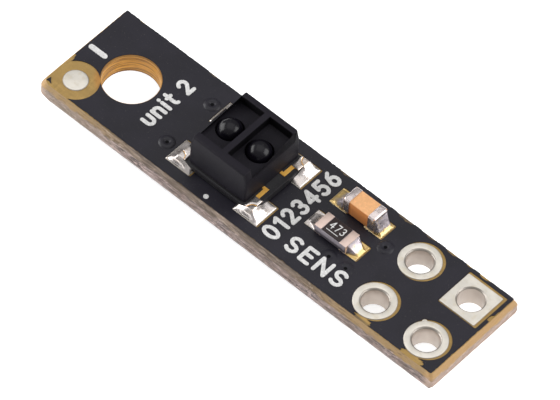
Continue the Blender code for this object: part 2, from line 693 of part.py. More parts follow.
def series_resistor():
    resistor("series_resistor", SERIES_RESISTOR, 90, -1, coated=False)
    for number, place in enumerate(chip_land_places(SERIES_RESISTOR, SERIES_LANDS, SERIES_LAND, 90), 1):
        land(f"series_resistor_land_{number}", place, (SERIES_LAND.y, SERIES_LAND.x), -1)


# ---------------------------------------------------------------- assembly

circuit_board()
solder_mask("solder_mask_top", 1)
solder_mask("solder_mask_bottom", -1)
for index, hole_place in enumerate(header_places(), 1):
    plated_hole(index, hole_place)
for index, via_place in enumerate(VIAS, 1):
    via(index, via_place)
fiducial()
for index, land_place in enumerate(land_places(), 1):
    land(f"sensor_land_{index}", land_place, (SENSOR_LAND, SENSOR_LAND))
sensor_base()
for index, (sign_x, sign_y) in enumerate(corner_signs(), 1):
    sensor_contact(index, sign_x, sign_y)
    sensor_solder(index, sign_x, sign_y)
sensor_housing()
lens("emitter_lens", -1)
lens("detector_lens", 1)
chip_and_wire("emitter", -1)
chip_and_wire("detector", 1)
capacitor()
resistor("output_resistor", RESISTOR, 0, 1)
chip_lands("output_resistor", RESISTOR_LANDS)
chip_fillets("output_resistor", RESISTOR, RESISTOR_SIZE, RESISTOR_LANDS, (0.20, 0.36))
emitter_switch()
series_resistor()
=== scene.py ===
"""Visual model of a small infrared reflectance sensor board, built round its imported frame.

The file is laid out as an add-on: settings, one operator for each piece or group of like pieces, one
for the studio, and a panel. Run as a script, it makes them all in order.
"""

import math

import bmesh
import bpy
from bpy.props import FloatProperty, FloatVectorProperty, PointerProperty
from mathutils import Matrix, Quaternion, Vector, noise


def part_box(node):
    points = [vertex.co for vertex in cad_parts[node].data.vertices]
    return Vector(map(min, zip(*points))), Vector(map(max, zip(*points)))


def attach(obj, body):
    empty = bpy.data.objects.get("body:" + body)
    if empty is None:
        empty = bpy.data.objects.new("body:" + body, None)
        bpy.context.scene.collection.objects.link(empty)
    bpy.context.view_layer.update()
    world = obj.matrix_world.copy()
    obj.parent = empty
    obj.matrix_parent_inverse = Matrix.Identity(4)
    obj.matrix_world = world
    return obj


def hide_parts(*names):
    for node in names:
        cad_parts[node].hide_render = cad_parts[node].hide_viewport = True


bl_info = {
    "name": "Reflectance Sensor Board",
    "version": (1, 0, 0),
    "blender": (4, 5, 0),
    "location": "View3D > Sidebar > Sensor Board",
    "description": "Builds the detailed pieces of a reflectance sensor board and a plain studio",
    "category": "Add Mesh",
}

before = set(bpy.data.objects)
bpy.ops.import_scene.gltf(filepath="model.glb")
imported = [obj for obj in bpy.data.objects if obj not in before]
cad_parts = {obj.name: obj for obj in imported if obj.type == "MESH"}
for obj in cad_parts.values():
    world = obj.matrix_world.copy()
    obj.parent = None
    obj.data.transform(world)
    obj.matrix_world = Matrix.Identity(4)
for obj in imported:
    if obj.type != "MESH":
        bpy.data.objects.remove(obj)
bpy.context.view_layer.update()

MM = 0.001
GAP = 0.003 * MM
NEAR = 1e-7                 # heights or points closer than this, in metres, count as the same
WELD = 1e-8                 # points closer than this are welded
LEVEL = 1e-9                # an edge whose ends differ less than this in height is level
ROUND = 64                  # facets round a hole that shows
SMALL_ROUND = 32
FINE_ROUND = 96             # facets round the screw hole


def box(node):
    """Lowest and highest corner of a frame node."""
    low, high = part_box(node)
    return Vector(low), Vector(high)


def middle(node):
    low, high = box(node)
    return (low + high) / 2


BOARD_LOW, BOARD_HIGH = box("circuit_board")
TOP = BOARD_HIGH.z
BOTTOM = BOARD_LOW.z
MASK_TOP = box("solder_mask_top")[1].z
MASK_BOTTOM = box("solder_mask_bottom")[0].z
LAND_TOP = box("sensor_land_1")[1].z
LAND_BOTTOM = box("series_resistor_land_1")[0].z
HOLES = [middle(f"plated_hole_{number}") for number in range(1, 5)]
VIAS = [middle(f"via_{number}") for number in range(1, 6)]
SCREW_HOLE = Vector((-7.43, 0.01, 0)) * MM
SCREW_HOLE_DIAMETER = 2.32 * MM
MASK_SHIFT = Vector((0.055, 0.03, 0)) * MM
# Painted dark reflection: most of sensor land 4 is put under the mask, which leaves open only a slit, a patch
# and the part under the module.
LAND_4_SLIT = 0.075 * MM    # what the mask leaves open of that land: a slit and a patch
LAND_4_PATCH = 0.33 * MM
SENSOR = middle("sensor_housing")
CORNERS = ((-1, -1), (1, -1), (1, 1), (-1, 1))
CASTELLATION = 0.30 * MM    # radius of the notches at the module's corners
CHAMBER_FLOOR = TOP + 1.52 * MM
CHAMBER_ROOF = CHAMBER_FLOOR - 0.16 * MM


def srgb(red, green, blue):
    """An 8-bit display colour as scene-linear light."""
    channels = [value / 255 for value in (red, green, blue)]
    return [value / 12.92 if value <= 0.04045 else ((value + 0.055) / 1.055) ** 2.4 for value in channels]


def rgba(colour):
    return (*tuple(colour)[:3], 1.0)


def tint(colour, factor):
    """A lighter or darker version of a colour."""
    return (*[min(channel * factor, 1.0) for channel in tuple(colour)[:3]], 1.0)


# ---------------------------------------------------------------- settings

def distance(name, description, millimetres):
    return FloatProperty(name=name, description=description, default=millimetres * MM, min=0.0,
                         unit="LENGTH", subtype="DISTANCE", precision=6)


def paint(name, description, *display):
    return FloatVectorProperty(name=name, description=description, default=srgb(*display), min=0.0,
                               max=1.0, size=3, subtype="COLOR")


class SensorBoardSizes(bpy.types.PropertyGroup):
    """Sizes of the details that the frame leaves plain."""

    fibre_step: distance("Fibre Step", "Spacing of the points along the broken board edge", 0.05)
    fibre_depth: distance("Fibre Depth", "How far the glass fibres of the edge stand out", 0.060)
    mask_wander: distance("Mask Wander", "How much the mask's cut edge wanders", 0.050)
    ink_thickness: distance("Ink Thickness", "Height of the printed legend", 0.026)
    legend_stroke: distance("Legend Stroke", "Width of the legend's strokes", 0.155)
    code_stroke: distance("Code Stroke", "Width of the strokes on the resistor", 0.040)
    tent_radius: distance("Tent Radius", "Radius of the raised mask over a via", 0.345)
    tent_height: distance("Tent Height", "Height of the raised mask over a via", 0.062)
    shroud_edge: distance("Shroud Edge", "Rounding of the shroud's outer edges", 0.10)
    chamber_edge: distance("Chamber Edge", "Rounding of the shroud's inner edges", 0.016)
    part_edge: distance("Part Edge", "Rounding of the chip parts' edges", 0.035)


class SensorBoardColours(bpy.types.PropertyGroup):
    """Colours of the finishes."""

    laminate: paint("Laminate", "Bare glass-epoxy face", 168, 136, 76)
    fibre: paint("Broken Edge", "Broken glass fibres on the edge", 156, 137, 132)
    mask: paint("Solder Mask", "Black mask over the board", 30, 28, 37)
    tin: paint("Tin", "Levelled tin on pads and lands", 234, 228, 217)
    solder: paint("Solder", "Reflowed solder", 226, 218, 214)
    gold: paint("Gold", "Gold plate on the module's contacts", 255, 192, 92)
    copper: paint("Copper", "Via barrels", 200, 126, 88)
    plastic: paint("Moulded Plastic", "Shroud of the sensor", 28, 26, 32)
    epoxy: paint("Infrared Epoxy", "Domes over the emitter and detector", 15, 13, 20)
    ceramic: paint("Capacitor Ceramic", "Body of the capacitor", 242, 182, 126)
    alumina: paint("Alumina", "Body of the resistors", 158, 151, 158)
    coat: paint("Glass Coat", "Black coat on the resistors", 47, 38, 38)
    resin: paint("Switch Resin", "Body of the emitter switch", 30, 30, 32)
    silicon: paint("Silicon", "Chips inside the domes", 96, 98, 110)
    ink: paint("Legend Ink", "Printed legend", 229, 228, 227)
    floor: paint("Floor", "Plain floor", 236, 236, 236)


class SensorBoardStudio(bpy.types.PropertyGroup):
    """Light and camera."""

    key: FloatProperty(name="Key Light", description="Strength of the left softbox", default=0.60, min=0.0,
                       unit="POWER")
    fill: FloatProperty(name="Fill Light", description="Strength of the right softbox", default=0.42,
                        min=0.0, unit="POWER")
    top: FloatProperty(name="Top Light", description="Strength of the overhead softbox", default=0.36,
                       min=0.0, unit="POWER")
    sky: FloatProperty(name="Room Light", description="Brightness of the white room", default=0.38, min=0.0)
    lens: FloatProperty(name="Lens", description="Focal length on a 36 mm wide film", default=0.4394,
                        unit="LENGTH", subtype="DISTANCE_CAMERA")
    roll: FloatProperty(name="Roll", description="Tilt of the camera about its own axis",
                        default=math.radians(4.61), unit="ROTATION", subtype="ANGLE")
    place: FloatVectorProperty(name="Camera Place", description="Where the camera stands", size=3,
                               default=(0.09565, -0.12074, 0.2075), unit="LENGTH", subtype="XYZ")
    aim: FloatVectorProperty(name="Camera Aim", description="Direction in which the camera looks", size=3,
                             default=(-0.371, 0.4694, -0.8012), subtype="DIRECTION")


# ---------------------------------------------------------------- materials

class Wire:
    """One output socket of a node, so that shader maths reads as an expression."""

    def __init__(self, finish, socket):
        self.finish = finish
        self.socket = socket

    def maths(self, operation, first, second=0.0):
        return self.finish.node("ShaderNodeMath", {"operation": operation}, {0: first, 1: second})

    def __add__(self, other):
        return self.maths("ADD", self, other)

    def __sub__(self, other):
        return self.maths("SUBTRACT", self, other)

    def __mul__(self, other):
        return self.maths("MULTIPLY", self, other)

    def __abs__(self):
        return self.maths("ABSOLUTE", self)


class Finish:
    """A material under construction: one Principled shader and the nodes that feed it."""

    def __init__(self, name, **fixed):
        self.material = bpy.data.materials.new(name)
        self.material.use_nodes = True
        self.tree = self.material.node_tree
        self.shader = self.tree.nodes["Principled BSDF"]
        self.normal = None
        for label, value in fixed.items():
            self.shader.inputs[label.replace("_", " ")].default_value = value
        place = self.node("ShaderNodeTexCoord", output="Object")
        self.place = self.node("ShaderNodeVectorMath", {"operation": "SCALE"}, {0: place, "Scale": 1 / MM})

    def node(self, kind, settings=None, sockets=None, output=0):
        """Adds a node, sets it up and returns one of its outputs."""
        made = self.tree.nodes.new(kind)
        for key, value in (settings or {}).items():
            setattr(made, key, value)
        for key, value in (sockets or {}).items():
            if isinstance(value, Wire):
                self.tree.links.new(value.socket, made.inputs[key])
            else:
                made.inputs[key].default_value = value
        return Wire(self, made.outputs[output])

    def noise(self, scale, detail=2.0, roughness=0.5, stretch=(1, 1, 1), shift=(0, 0, 0)):
        """Cloudy noise, with its scale counted in features per millimetre."""
        place = self.node("ShaderNodeMapping", None,
                          {"Vector": self.place, "Scale": stretch, "Location": shift})
        return self.node("ShaderNodeTexNoise", None,
                         {"Vector": place, "Scale": scale, "Detail": detail, "Roughness": roughness})

    def spread(self, value, low, high, first=0.0, last=1.0):
        """A soft step from first to last as the value goes from low to high."""
        return self.node("ShaderNodeMapRange", {"interpolation_type": "SMOOTHSTEP"},
                         {"Value": value, "From Min": low, "From Max": high, "To Min": first, "To Max": last})

    def axis(self, index):
        """One coordinate of the surface point, in millimetres."""
        return self.node("ShaderNodeSeparateXYZ", None, {0: self.place}, index)

    def facing(self, index=2):
        """How far the true surface faces along an axis, from -1 to 1."""
        normal = self.node("ShaderNodeNewGeometry", output="True Normal")
        return self.node("ShaderNodeSeparateXYZ", None, {0: normal}, index)

    def mix(self, amount, first, second):
        """A colour between two, the second where the amount is one."""
        return self.node("ShaderNodeMix", {"data_type": "RGBA"}, {0: amount, 6: first, 7: second}, 2)

    def woven(self, scale, detail, thread):
        """Crossing threads of cloth, stretched by the given share along each thread."""
        along = self.noise(scale, detail, stretch=(1, thread, 1))
        return along * 0.5 + self.noise(scale, detail, stretch=(thread, 1, 1)) * 0.5

    def bump(self, height, depth):
        """Raises the surface by height times depth, given in metres."""
        sockets = {"Height": height, "Distance": depth, "Strength": 1.0}
        if self.normal:
            sockets["Normal"] = self.normal
        self.normal = self.node("ShaderNodeBump", None, sockets)

    def done(self, **varying):
        """Feeds the shader and returns the material."""
        for label, wire in varying.items():
            self.tree.links.new(wire.socket, self.shader.inputs[label.replace("_", " ")])
        if self.normal:
            self.tree.links.new(self.normal.socket, self.shader.inputs["Normal"])
        return self.material


def cut_edge(finish, fibre, height, hairs, splinters):
    """Colour of the edge: a broken fibrous web between two scored slopes, with painted shade along its lowest
    part.
    """
    blotch = finish.noise(0.55, 3.0, 0.6)
    streaks = finish.noise(4.0, 4.0, 0.7, stretch=(0.22, 0.22, 2.1))
    along = finish.axis(0)
    end = finish.spread(abs(along), 9.45, 9.75)

    web = finish.mix(finish.spread(streaks, 0.42, 0.56), tint(fibre, 0.20), tint(fibre, 0.88))
    web = finish.mix(finish.spread(hairs, 0.53, 0.58) * 0.85, web, tint(fibre, 1.85))
    web = finish.mix(finish.spread(blotch, 0.46, 0.60) * 0.5, web, rgba(srgb(112, 94, 82)))
    web = finish.mix(finish.spread(splinters, 0.55, 0.64) * 0.55, web, tint(fibre, 0.45))
    web = finish.mix(finish.spread(along, -9.0, -4.0, 0.25, 0.0), web, rgba(srgb(190, 168, 138)))
    web = finish.mix(end * 0.6, web, rgba(srgb(188, 160, 140)))

    scored = finish.mix(finish.spread(streaks, 0.42, 0.58), rgba(srgb(78, 66, 58)), rgba(srgb(140, 122, 106)))
    scored = finish.mix(finish.spread(hairs, 0.55, 0.60) * 0.65, scored, rgba(srgb(186, 170, 156)))
    scored = finish.mix(finish.spread(blotch, 0.40, 0.60) * 0.6, scored, rgba(srgb(108, 92, 78)))
    far_from_middle = finish.spread(abs(along + 1.0), 3.5, 7.5, 0.0, 0.82)
    scored = finish.mix(far_from_middle, scored, rgba(srgb(168, 136, 86)))
    scored = finish.mix(finish.spread(splinters, 0.56, 0.66) * 0.5, scored, rgba(srgb(92, 74, 58)))
    scored = finish.mix(end * 0.8, scored, rgba(srgb(190, 150, 96)))

    tear = finish.noise(4.5, 3.0, 0.6, stretch=(0.7, 0.7, 1.6), shift=(1, 1, 6))
    ragged = height + (tear - 0.5) * 0.34
    side = finish.mix(finish.spread(ragged, 0.16, 0.28), web, scored)
    # painted shade: the lowest part of the edge is darkened
    return finish.mix(finish.spread(ragged, -0.46, -0.36, 0.75, 0.0), side, rgba(srgb(82, 70, 64)))


def drilled_wall(finish, height):
    """Colour of the screw hole's wall: golden epoxy in thin layers, darker at both mouths."""
    layers = finish.noise(6.0, 3.0, 0.6, stretch=(0.12, 0.12, 2.2))
    wall = finish.mix(finish.spread(layers, 0.36, 0.64), rgba(srgb(146, 98, 24)), rgba(srgb(230, 172, 68)))
    return finish.mix(finish.spread(abs(height), 0.36, 0.46) * 0.6, wall, rgba(srgb(104, 74, 42)))


def bare_face(finish, face, across, weave, from_screw):
    """Colour of the flat face: tan cloth, burnt round the screw hole and darker along the middle of the long
    edges.
    """
    plain = finish.mix(finish.spread(weave, 0.38, 0.62), tint(face, 0.84), tint(face, 1.16))
    plain = finish.mix(finish.spread(across, 0.35, 0.7), plain, tint(face, 0.92))
    plain = finish.mix(finish.spread(from_screw, 1.22, 1.55, 0.65, 0.0), plain, rgba(srgb(178, 118, 46)))
    near_edge = finish.spread(abs(finish.axis(1)), 2.24, 2.30)
    darker_long_edges = near_edge * finish.spread(abs(finish.axis(0)), 5.5, 8.0, 0.9, 0.0)
    return finish.mix(darker_long_edges, plain, rgba(srgb(86, 74, 64)))


def laminate_finish(colours):
    """Woven glass and epoxy: tan face, drilled wall, scored slopes and a broken web."""
    finish = Finish("glass_epoxy_laminate")
    height = finish.axis(2) - (TOP + BOTTOM) / 2 / MM
    across = finish.noise(1.6, 3.0)
    weave = finish.woven(7.0, 2.0, 0.25)
    hairs = finish.noise(8.0, 4.0, 0.75, stretch=(0.30, 0.30, 1.6), shift=(2, 7, 3))
    slant = finish.node("ShaderNodeMapping", None, {"Vector": finish.place, "Rotation": (0.5, 0.6, 0.0),
                                                    "Scale": (3.0, 3.0, 22.0)})
    splinters = finish.node("ShaderNodeTexNoise", None, {"Vector": slant, "Scale": 1.0, "Detail": 3.0})
    flat_place = finish.node("ShaderNodeVectorMath", {"operation": "MULTIPLY"},
                             {0: finish.place, 1: (1, 1, 0)})
    from_screw = finish.node("ShaderNodeVectorMath", {"operation": "DISTANCE"},
                             {0: flat_place, 1: SCREW_HOLE / MM}, output="Value")

    side = cut_edge(finish, rgba(colours.fibre), height, hairs, splinters)
    in_hole = finish.spread(from_screw, 1.19, 1.22, 1.0, 0.0)
    side = finish.mix(in_hole, side, drilled_wall(finish, height))
    plain = bare_face(finish, rgba(colours.laminate), across, weave, from_screw)
    level = finish.spread(abs(finish.facing(2)), 0.90, 0.97)
    colour = finish.mix(level, side, plain)
    finish.bump(hairs, 0.038 * MM)
    finish.bump(splinters, 0.022 * MM)
    finish.bump(weave, 0.004 * MM)
    return finish.done(Base_Color=colour, Roughness=finish.spread(across, 0.3, 0.7, 0.46, 0.66))


def mask_finish(colours):
    """Satin black mask with faint orange peel, dust and the weave showing through."""
    finish = Finish("black_solder_mask", Specular_IOR_Level=0.38)
    base = rgba(colours.mask)
    cloud = finish.noise(0.9, 4.0)
    peel = finish.noise(16.0, 3.0)
    weave = finish.woven(5.0, 1.0, 0.22)
    colour = finish.mix(finish.spread(cloud, 0.3, 0.7), tint(base, 0.86), tint(base, 1.16))
    specks = finish.spread(finish.noise(26.0, 1.0), 0.73, 0.78)
    colour = finish.mix(specks * 0.45, colour, rgba(srgb(120, 116, 110)))
    finish.bump(peel, 0.0035 * MM)
    finish.bump(weave, 0.004 * MM)
    rough = finish.spread(cloud, 0.25, 0.75, 0.34, 0.46)
    return finish.done(Base_Color=colour, Roughness=rough)


def metal_finish(name, colour, rough, ripple, ripple_scale, stain=None, metallic=1.0, wall=None, amber=None):
    """Metal with a soft ripple and cloudy shine.

    stain spots it, wall colours its upright bores and, darkened, paints shade on its sloped rims, and amber
    is flux left on its lowest part.
    """
    finish = Finish(name, Metallic=metallic)
    base = rgba(colour)
    cloud = finish.noise(2.2, 4.0)
    fine = finish.noise(ripple_scale * 6, 3.0)
    shade = finish.mix(finish.spread(cloud, 0.3, 0.7), tint(base, 0.90), tint(base, 1.06))
    if stain:
        spots = finish.spread(finish.noise(3.4, 3.0, shift=(5, 2, 1)), 0.50, 0.72)
        shade = finish.mix(spots * 0.8, shade, rgba(stain))
    if amber:
        seat = LAND_TOP / MM
        low_part = finish.spread(finish.axis(2) + (cloud - 0.5) * 0.25, seat + 0.05, seat + 0.16, 0.85, 0.0)
        shade = finish.mix(low_part, shade, rgba(amber))
    if wall:
        lying = abs(finish.facing(2))
        shade = finish.mix(finish.spread(lying, 0.2, 0.4), rgba(wall), shade)
        # painted shade: sloped faces at the bore's lip and at the pad's outer edge are darkened
        rim = finish.spread(lying, 0.15, 0.3) * finish.spread(lying, 0.90, 0.99, 0.75, 0.0)
        shade = finish.mix(rim, shade, tint(wall, 0.42))
    finish.bump(finish.noise(ripple_scale, 2.0), ripple * MM)
    finish.bump(fine, ripple * 0.12 * MM)
    gloss = finish.spread(cloud, 0.25, 0.75, rough * 0.75, rough * 1.25)
    return finish.done(Base_Color=shade, Roughness=gloss)


def moulded_finish(name, colour, rough, grain, grain_scale=30.0, shine=0.3, chamber_shade=None):
    """Moulded resin or plastic with a fine spark-eroded grain; the chamber factor paints shade on the
    chambers' inner walls, and the top faces get painted light.
    """
    finish = Finish(name, Specular_IOR_Level=shine)
    base = rgba(colour)
    cloud = finish.noise(1.4, 4.0)
    fine = finish.noise(grain_scale, 3.0)
    shade = finish.mix(finish.spread(cloud, 0.3, 0.7), tint(base, 0.88), tint(base, 1.14))
    dust = finish.spread(finish.noise(22.0, 1.0, shift=(3, 1, 4)), 0.74, 0.80)
    shade = finish.mix(dust * 0.35, shade, rgba(srgb(110, 108, 106)))
    if chamber_shade:
        # painted shade: upright faces inside the chambers are darkened by the chamber factor
        upright = finish.spread(abs(finish.facing(2)), 0.4, 0.7, 1.0, 0.0)
        across = finish.spread(abs(finish.axis(1) - SENSOR.y / MM), 1.25, 1.28, 1.0, 0.0)
        along = finish.spread(abs(finish.axis(0) - SENSOR.x / MM), 1.22, 1.26, 1.0, 0.0)
        shade = finish.mix(upright * across * along, shade, tint(base, chamber_shade))
        # painted light: faces at the top of the shroud, the rib and wall tops, are lightened
        crown = box("sensor_housing")[1].z / MM
        painted_crown_light = finish.spread(finish.axis(2), crown - 0.04, crown - 0.01, 0.0, 0.6)
        shade = finish.mix(painted_crown_light, shade, tint(base, 1.5))
    finish.bump(fine, grain * MM)
    gloss = finish.spread(fine, 0.3, 0.7, rough * 0.88, rough * 1.12)
    return finish.done(Base_Color=shade, Roughness=gloss)


def ceramic_finish(name, colour, rough, cut=None, shadow=None):
    """Fired ceramic: fine mottling and small pits, with darker cut sides or a darker foot."""
    finish = Finish(name)
    base = rgba(colour)
    mottle = finish.noise(9.0, 4.0, 0.6)
    bands = finish.noise(3.0, 3.0, stretch=(0.5, 0.5, 4.0))
    shade = finish.mix(finish.spread(mottle, 0.35, 0.68), tint(base, 0.91), tint(base, 1.05))
    shade = finish.mix(finish.spread(bands, 0.4, 0.7) * 0.22, shade, tint(base, 0.80))
    if cut:
        side = finish.spread(abs(finish.facing(2)), 0.4, 0.8, 0.75, 0.0)
        shade = finish.mix(side, shade, rgba(cut))
    if shadow:
        seat = LAND_TOP / MM
        low_part = finish.spread(finish.axis(2), seat + 0.16, seat + 0.27, 0.8, 0.0)
        shade = finish.mix(low_part, shade, rgba(shadow))
    finish.bump(finish.noise(24.0, 3.0), 0.004 * MM)
    gloss = finish.spread(mottle, 0.3, 0.7, rough * 0.9, rough * 1.15)
    return finish.done(Base_Color=shade, Roughness=gloss)


def ink_finish(colours):
    """Screen-printed ink, a little uneven where the squeegee left less."""
    finish = Finish("legend_ink")
    base = rgba(colours.ink)
    thin = finish.noise(14.0, 3.0, 0.6)
    shade = finish.mix(finish.spread(thin, 0.35, 0.7), tint(base, 0.80), tint(base, 1.04))
    finish.bump(finish.noise(30.0, 2.0), 0.004 * MM)
    return finish.done(Base_Color=shade, Roughness=finish.spread(thin, 0.3, 0.7, 0.5, 0.7))


def floor_finish(colours):
    """Plain pale lit paper."""
    finish = Finish("studio_floor", Specular_IOR_Level=0.1, Emission_Color=(1, 1, 1, 1),
                    Emission_Strength=0.75)
    base = rgba(colours.floor)
    cloud = finish.noise(0.05, 2.0)
    shade = finish.mix(cloud, tint(base, 0.99), tint(base, 1.01))
    return finish.done(Base_Color=shade, Roughness=finish.spread(cloud, 0.0, 1.0, 0.78, 0.82))


FINISHES = {
    "laminate": laminate_finish,
    "mask": mask_finish,
    "ink": ink_finish,
    "floor": floor_finish,
    "tin": lambda c: metal_finish("tinned_copper", c.tin, 0.40, 0.007, 3.2, metallic=0.6,
                                  stain=srgb(222, 212, 192), wall=srgb(198, 186, 176)),
    "solder": lambda c: metal_finish("solder", c.solder, 0.26, 0.012, 3.6, metallic=0.9,
                                     stain=srgb(205, 190, 178)),
    "flux": lambda c: metal_finish("fluxed_solder", srgb(196, 186, 192), 0.30, 0.026, 4.0, metallic=0.85,
                                   stain=srgb(236, 214, 168), amber=srgb(240, 204, 124)),
    "gilt": lambda c: metal_finish("fluxed_land", srgb(250, 216, 142), 0.30, 0.030, 4.5, metallic=0.6,
                                   stain=srgb(246, 236, 214)),
    "pale": lambda c: metal_finish("washed_land", srgb(242, 220, 172), 0.28, 0.036, 5.5, metallic=0.7,
                                   stain=srgb(248, 242, 228)),
    "gold": lambda c: metal_finish("gold_plate", c.gold, 0.30, 0.008, 5.0, metallic=0.2),
    "copper": lambda c: metal_finish("copper", c.copper, 0.38, 0.006, 8.0),
    "terminal": lambda c: metal_finish("tinned_terminal", srgb(226, 214, 212), 0.24, 0.016, 5.0,
                                       metallic=0.9),
    "strap": lambda c: metal_finish("resistor_strap", srgb(232, 208, 197), 0.38, 0.009, 6.0, metallic=0.75),
    # the chamber factor here is painted shade on the shroud's inner chamber walls
    "plastic": lambda c: moulded_finish("black_moulded_plastic", c.plastic, 0.52, 0.004, shine=0.12,
                                        chamber_shade=0.22),
    "base": lambda c: moulded_finish("black_base_laminate", srgb(34, 33, 36), 0.45, 0.004, 20.0),
    "epoxy": lambda c: moulded_finish("dark_infrared_epoxy", c.epoxy, 0.24, 0.0010, 6.0),
    # painted shade: near-black finish for the disc in each via tent's sunk middle
    "painted_pit_shade": lambda c: moulded_finish("mask_painted_pit_shade", srgb(6, 6, 9), 0.6, 0.004, 20.0, shine=0.1),
    "coat": lambda c: moulded_finish("black_glass_overcoat", c.coat, 0.30, 0.003, 14.0),
    "resin": lambda c: moulded_finish("black_resin", c.resin, 0.48, 0.004, 26.0),
    "silicon": lambda c: metal_finish("silicon", c.silicon, 0.2, 0.001, 8.0, metallic=0.6),
    "ceramic": lambda c: ceramic_finish("tan_ceramic", c.ceramic, 0.42, cut=srgb(222, 132, 62)),
    "alumina": lambda c: ceramic_finish("alumina", c.alumina, 0.55, shadow=srgb(66, 60, 70)),
}
made_finishes = {}


def finish_of(name):
    """The finished material of that name, made when it is first asked for."""
    if name not in made_finishes:
        made_finishes[name] = FINISHES[name](bpy.context.scene.sensor_board_colours)
    return made_finishes[name]


# ---------------------------------------------------------------- building blocks

def settled(name, shape, smooth=None):
    """An object from a bmesh, which is freed."""
    mesh = bpy.data.meshes.new(name)
    bmesh.ops.recalc_face_normals(shape, faces=shape.faces)
    shape.to_mesh(mesh)
    shape.free()
    if smooth is not None:
        mesh.shade_smooth()
        mesh.set_sharp_from_angle(angle=math.radians(smooth))
    obj = bpy.data.objects.new(name, mesh)
    bpy.context.scene.collection.objects.link(obj)
    return obj


def piece(name, shape, finish, stands_for=(), smooth=32):
    """A finished piece of the board: it rides with the frame and hides the frame nodes that it stands for."""
    obj = settled(name, shape, smooth)
    obj.data.materials.append(finish_of(finish))
    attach(obj, "root")
    if stands_for:
        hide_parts(*stands_for)
    return obj


def dress(finish, *nodes):
    """Gives frame nodes whose shape is right their finish."""
    for node in nodes:
        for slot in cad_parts[node].material_slots:
            slot.material = finish_of(finish)


def combine(first, second, operation="DIFFERENCE", crossing=False):
    """Cuts or joins two bmeshes into a new one; both are freed."""
    pair = [settled("first", first), settled("second", second)]
    step = pair[0].modifiers.new("combine", "BOOLEAN")
    step.operation = operation
    step.solver = "EXACT"
    step.use_self = crossing
    step.object = pair[1]
    graph = bpy.context.evaluated_depsgraph_get()
    mesh = bpy.data.meshes.new_from_object(pair[0].evaluated_get(graph))
    result = bmesh.new()
    result.from_mesh(mesh)
    bpy.data.meshes.remove(mesh)
    for obj in pair:
        bpy.data.meshes.remove(obj.data)
    bmesh.ops.remove_doubles(result, verts=result.verts, dist=WELD)
    return result


def merged(*shapes):
    """Several bmeshes as one, without joining their surfaces."""
    result = bmesh.new()
    for shape in shapes:
        mesh = bpy.data.meshes.new("part")
        shape.to_mesh(mesh)
        shape.free()
        result.from_mesh(mesh)
        bpy.data.meshes.remove(mesh)
    return result


def cube(low, high):
    """A box between two corners."""
    low, high = Vector(low), Vector(high)
    shape = bmesh.new()
    bmesh.ops.create_cube(shape, matrix=Matrix.LocRotScale((low + high) / 2, None, high - low))
    return shape


def cylinder(radius, centre, low, high, segments=ROUND):
    """An upright cylinder between two heights."""
    shape = bmesh.new()
    bmesh.ops.create_cone(shape, cap_ends=True, segments=segments, radius1=radius, radius2=radius,
                          depth=high - low,
                          matrix=Matrix.Translation((centre[0], centre[1], (low + high) / 2)))
    return shape


def ease(shape, width, segments=2, angle=35, where=None):
    """Rounds the edges sharper than an angle, or those of them that pass a test."""
    sharp = math.radians(angle)
    edges = [edge for edge in shape.edges if len(edge.link_faces) == 2 and edge.calc_face_angle() > sharp
             and (where is None or where((edge.verts[0].co + edge.verts[1].co) / 2, edge))]
    bmesh.ops.bevel(shape, geom=edges, offset=width, segments=segments, profile=0.5, affect="EDGES",
                    clamp_overlap=True, material=-1)
    return shape


def rounded_box(low, high, edge, segments=3, uprights=None):
    """A box with rounded edges; uprights gives its vertical edges a rounding of their own."""
    shape = cube(low, high)
    if uprights:
        ease(shape, uprights, segments + 1, where=lambda at, item: is_upright(item))
    return ease(shape, edge, segments)


def is_upright(edge):
    """Whether an edge runs up rather than along."""
    step = edge.verts[0].co - edge.verts[1].co
    return abs(step.z) > 4 * (abs(step.x) + abs(step.y))


def lathe(profile, centre, steps=ROUND, closed=False):
    """Spins a profile of radii and heights about the vertical through centre."""
    shape = bmesh.new()
    verts = [shape.verts.new((centre[0] + radius, centre[1], height)) for radius, height in profile]
    edges = [shape.edges.new(pair) for pair in zip(verts, verts[1:])]
    if closed:
        edges.append(shape.edges.new((verts[-1], verts[0])))
    bmesh.ops.spin(shape, geom=verts + edges, cent=(centre[0], centre[1], 0), axis=(0, 0, 1),
                   angle=math.tau, steps=steps, use_merge=True)
    bmesh.ops.remove_doubles(shape, verts=shape.verts, dist=WELD)
    return shape


def verts_of(geometry):
    """The points in what a bmesh operator returned."""
    return [item for item in geometry if isinstance(item, bmesh.types.BMVert)]


def copy_of(node, width=0.0, segments=2, angle=35):
    """A frame node's shape with its triangles merged and its edges rounded."""
    shape = bmesh.new()
    shape.from_mesh(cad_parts[node].data)
    bmesh.ops.remove_doubles(shape, verts=shape.verts, dist=NEAR)
    bmesh.ops.dissolve_limit(shape, angle_limit=math.radians(1), verts=shape.verts, edges=shape.edges)
    return ease(shape, width, segments, angle) if width else shape


def pool(low, high, seat, rise, cell, kept=None, side=1):
    """Solder lying on a land: a grid raised by rise(x, y) above its seat, closed underneath."""
    low, high = Vector(low[:2]), Vector(high[:2])
    extent = high - low
    shape = bmesh.new()
    to_land = Matrix.LocRotScale((*((low + high) / 2), seat), None, (*extent, 1))
    bmesh.ops.create_grid(shape, x_segments=max(4, round(extent.x / cell)),
                          y_segments=max(4, round(extent.y / cell)), size=0.5, matrix=to_land)
    if kept:
        lost = [face for face in shape.faces if not kept(face.calc_center_median())]
        bmesh.ops.delete(shape, geom=lost, context="FACES")
    base = bmesh.ops.extrude_face_region(shape, geom=shape.faces[:])["geom"]
    for vert in verts_of(base):
        vert.co.z = seat + side * max(rise(vert.co.x, vert.co.y), 0.002 * MM)
    return shape


def smooth_share(value):
    """A soft step from nought to one."""
    value = min(max(value, 0.0), 1.0)
    return value * value * (3 - 2 * value)


# ---------------------------------------------------------------- laminate and mask

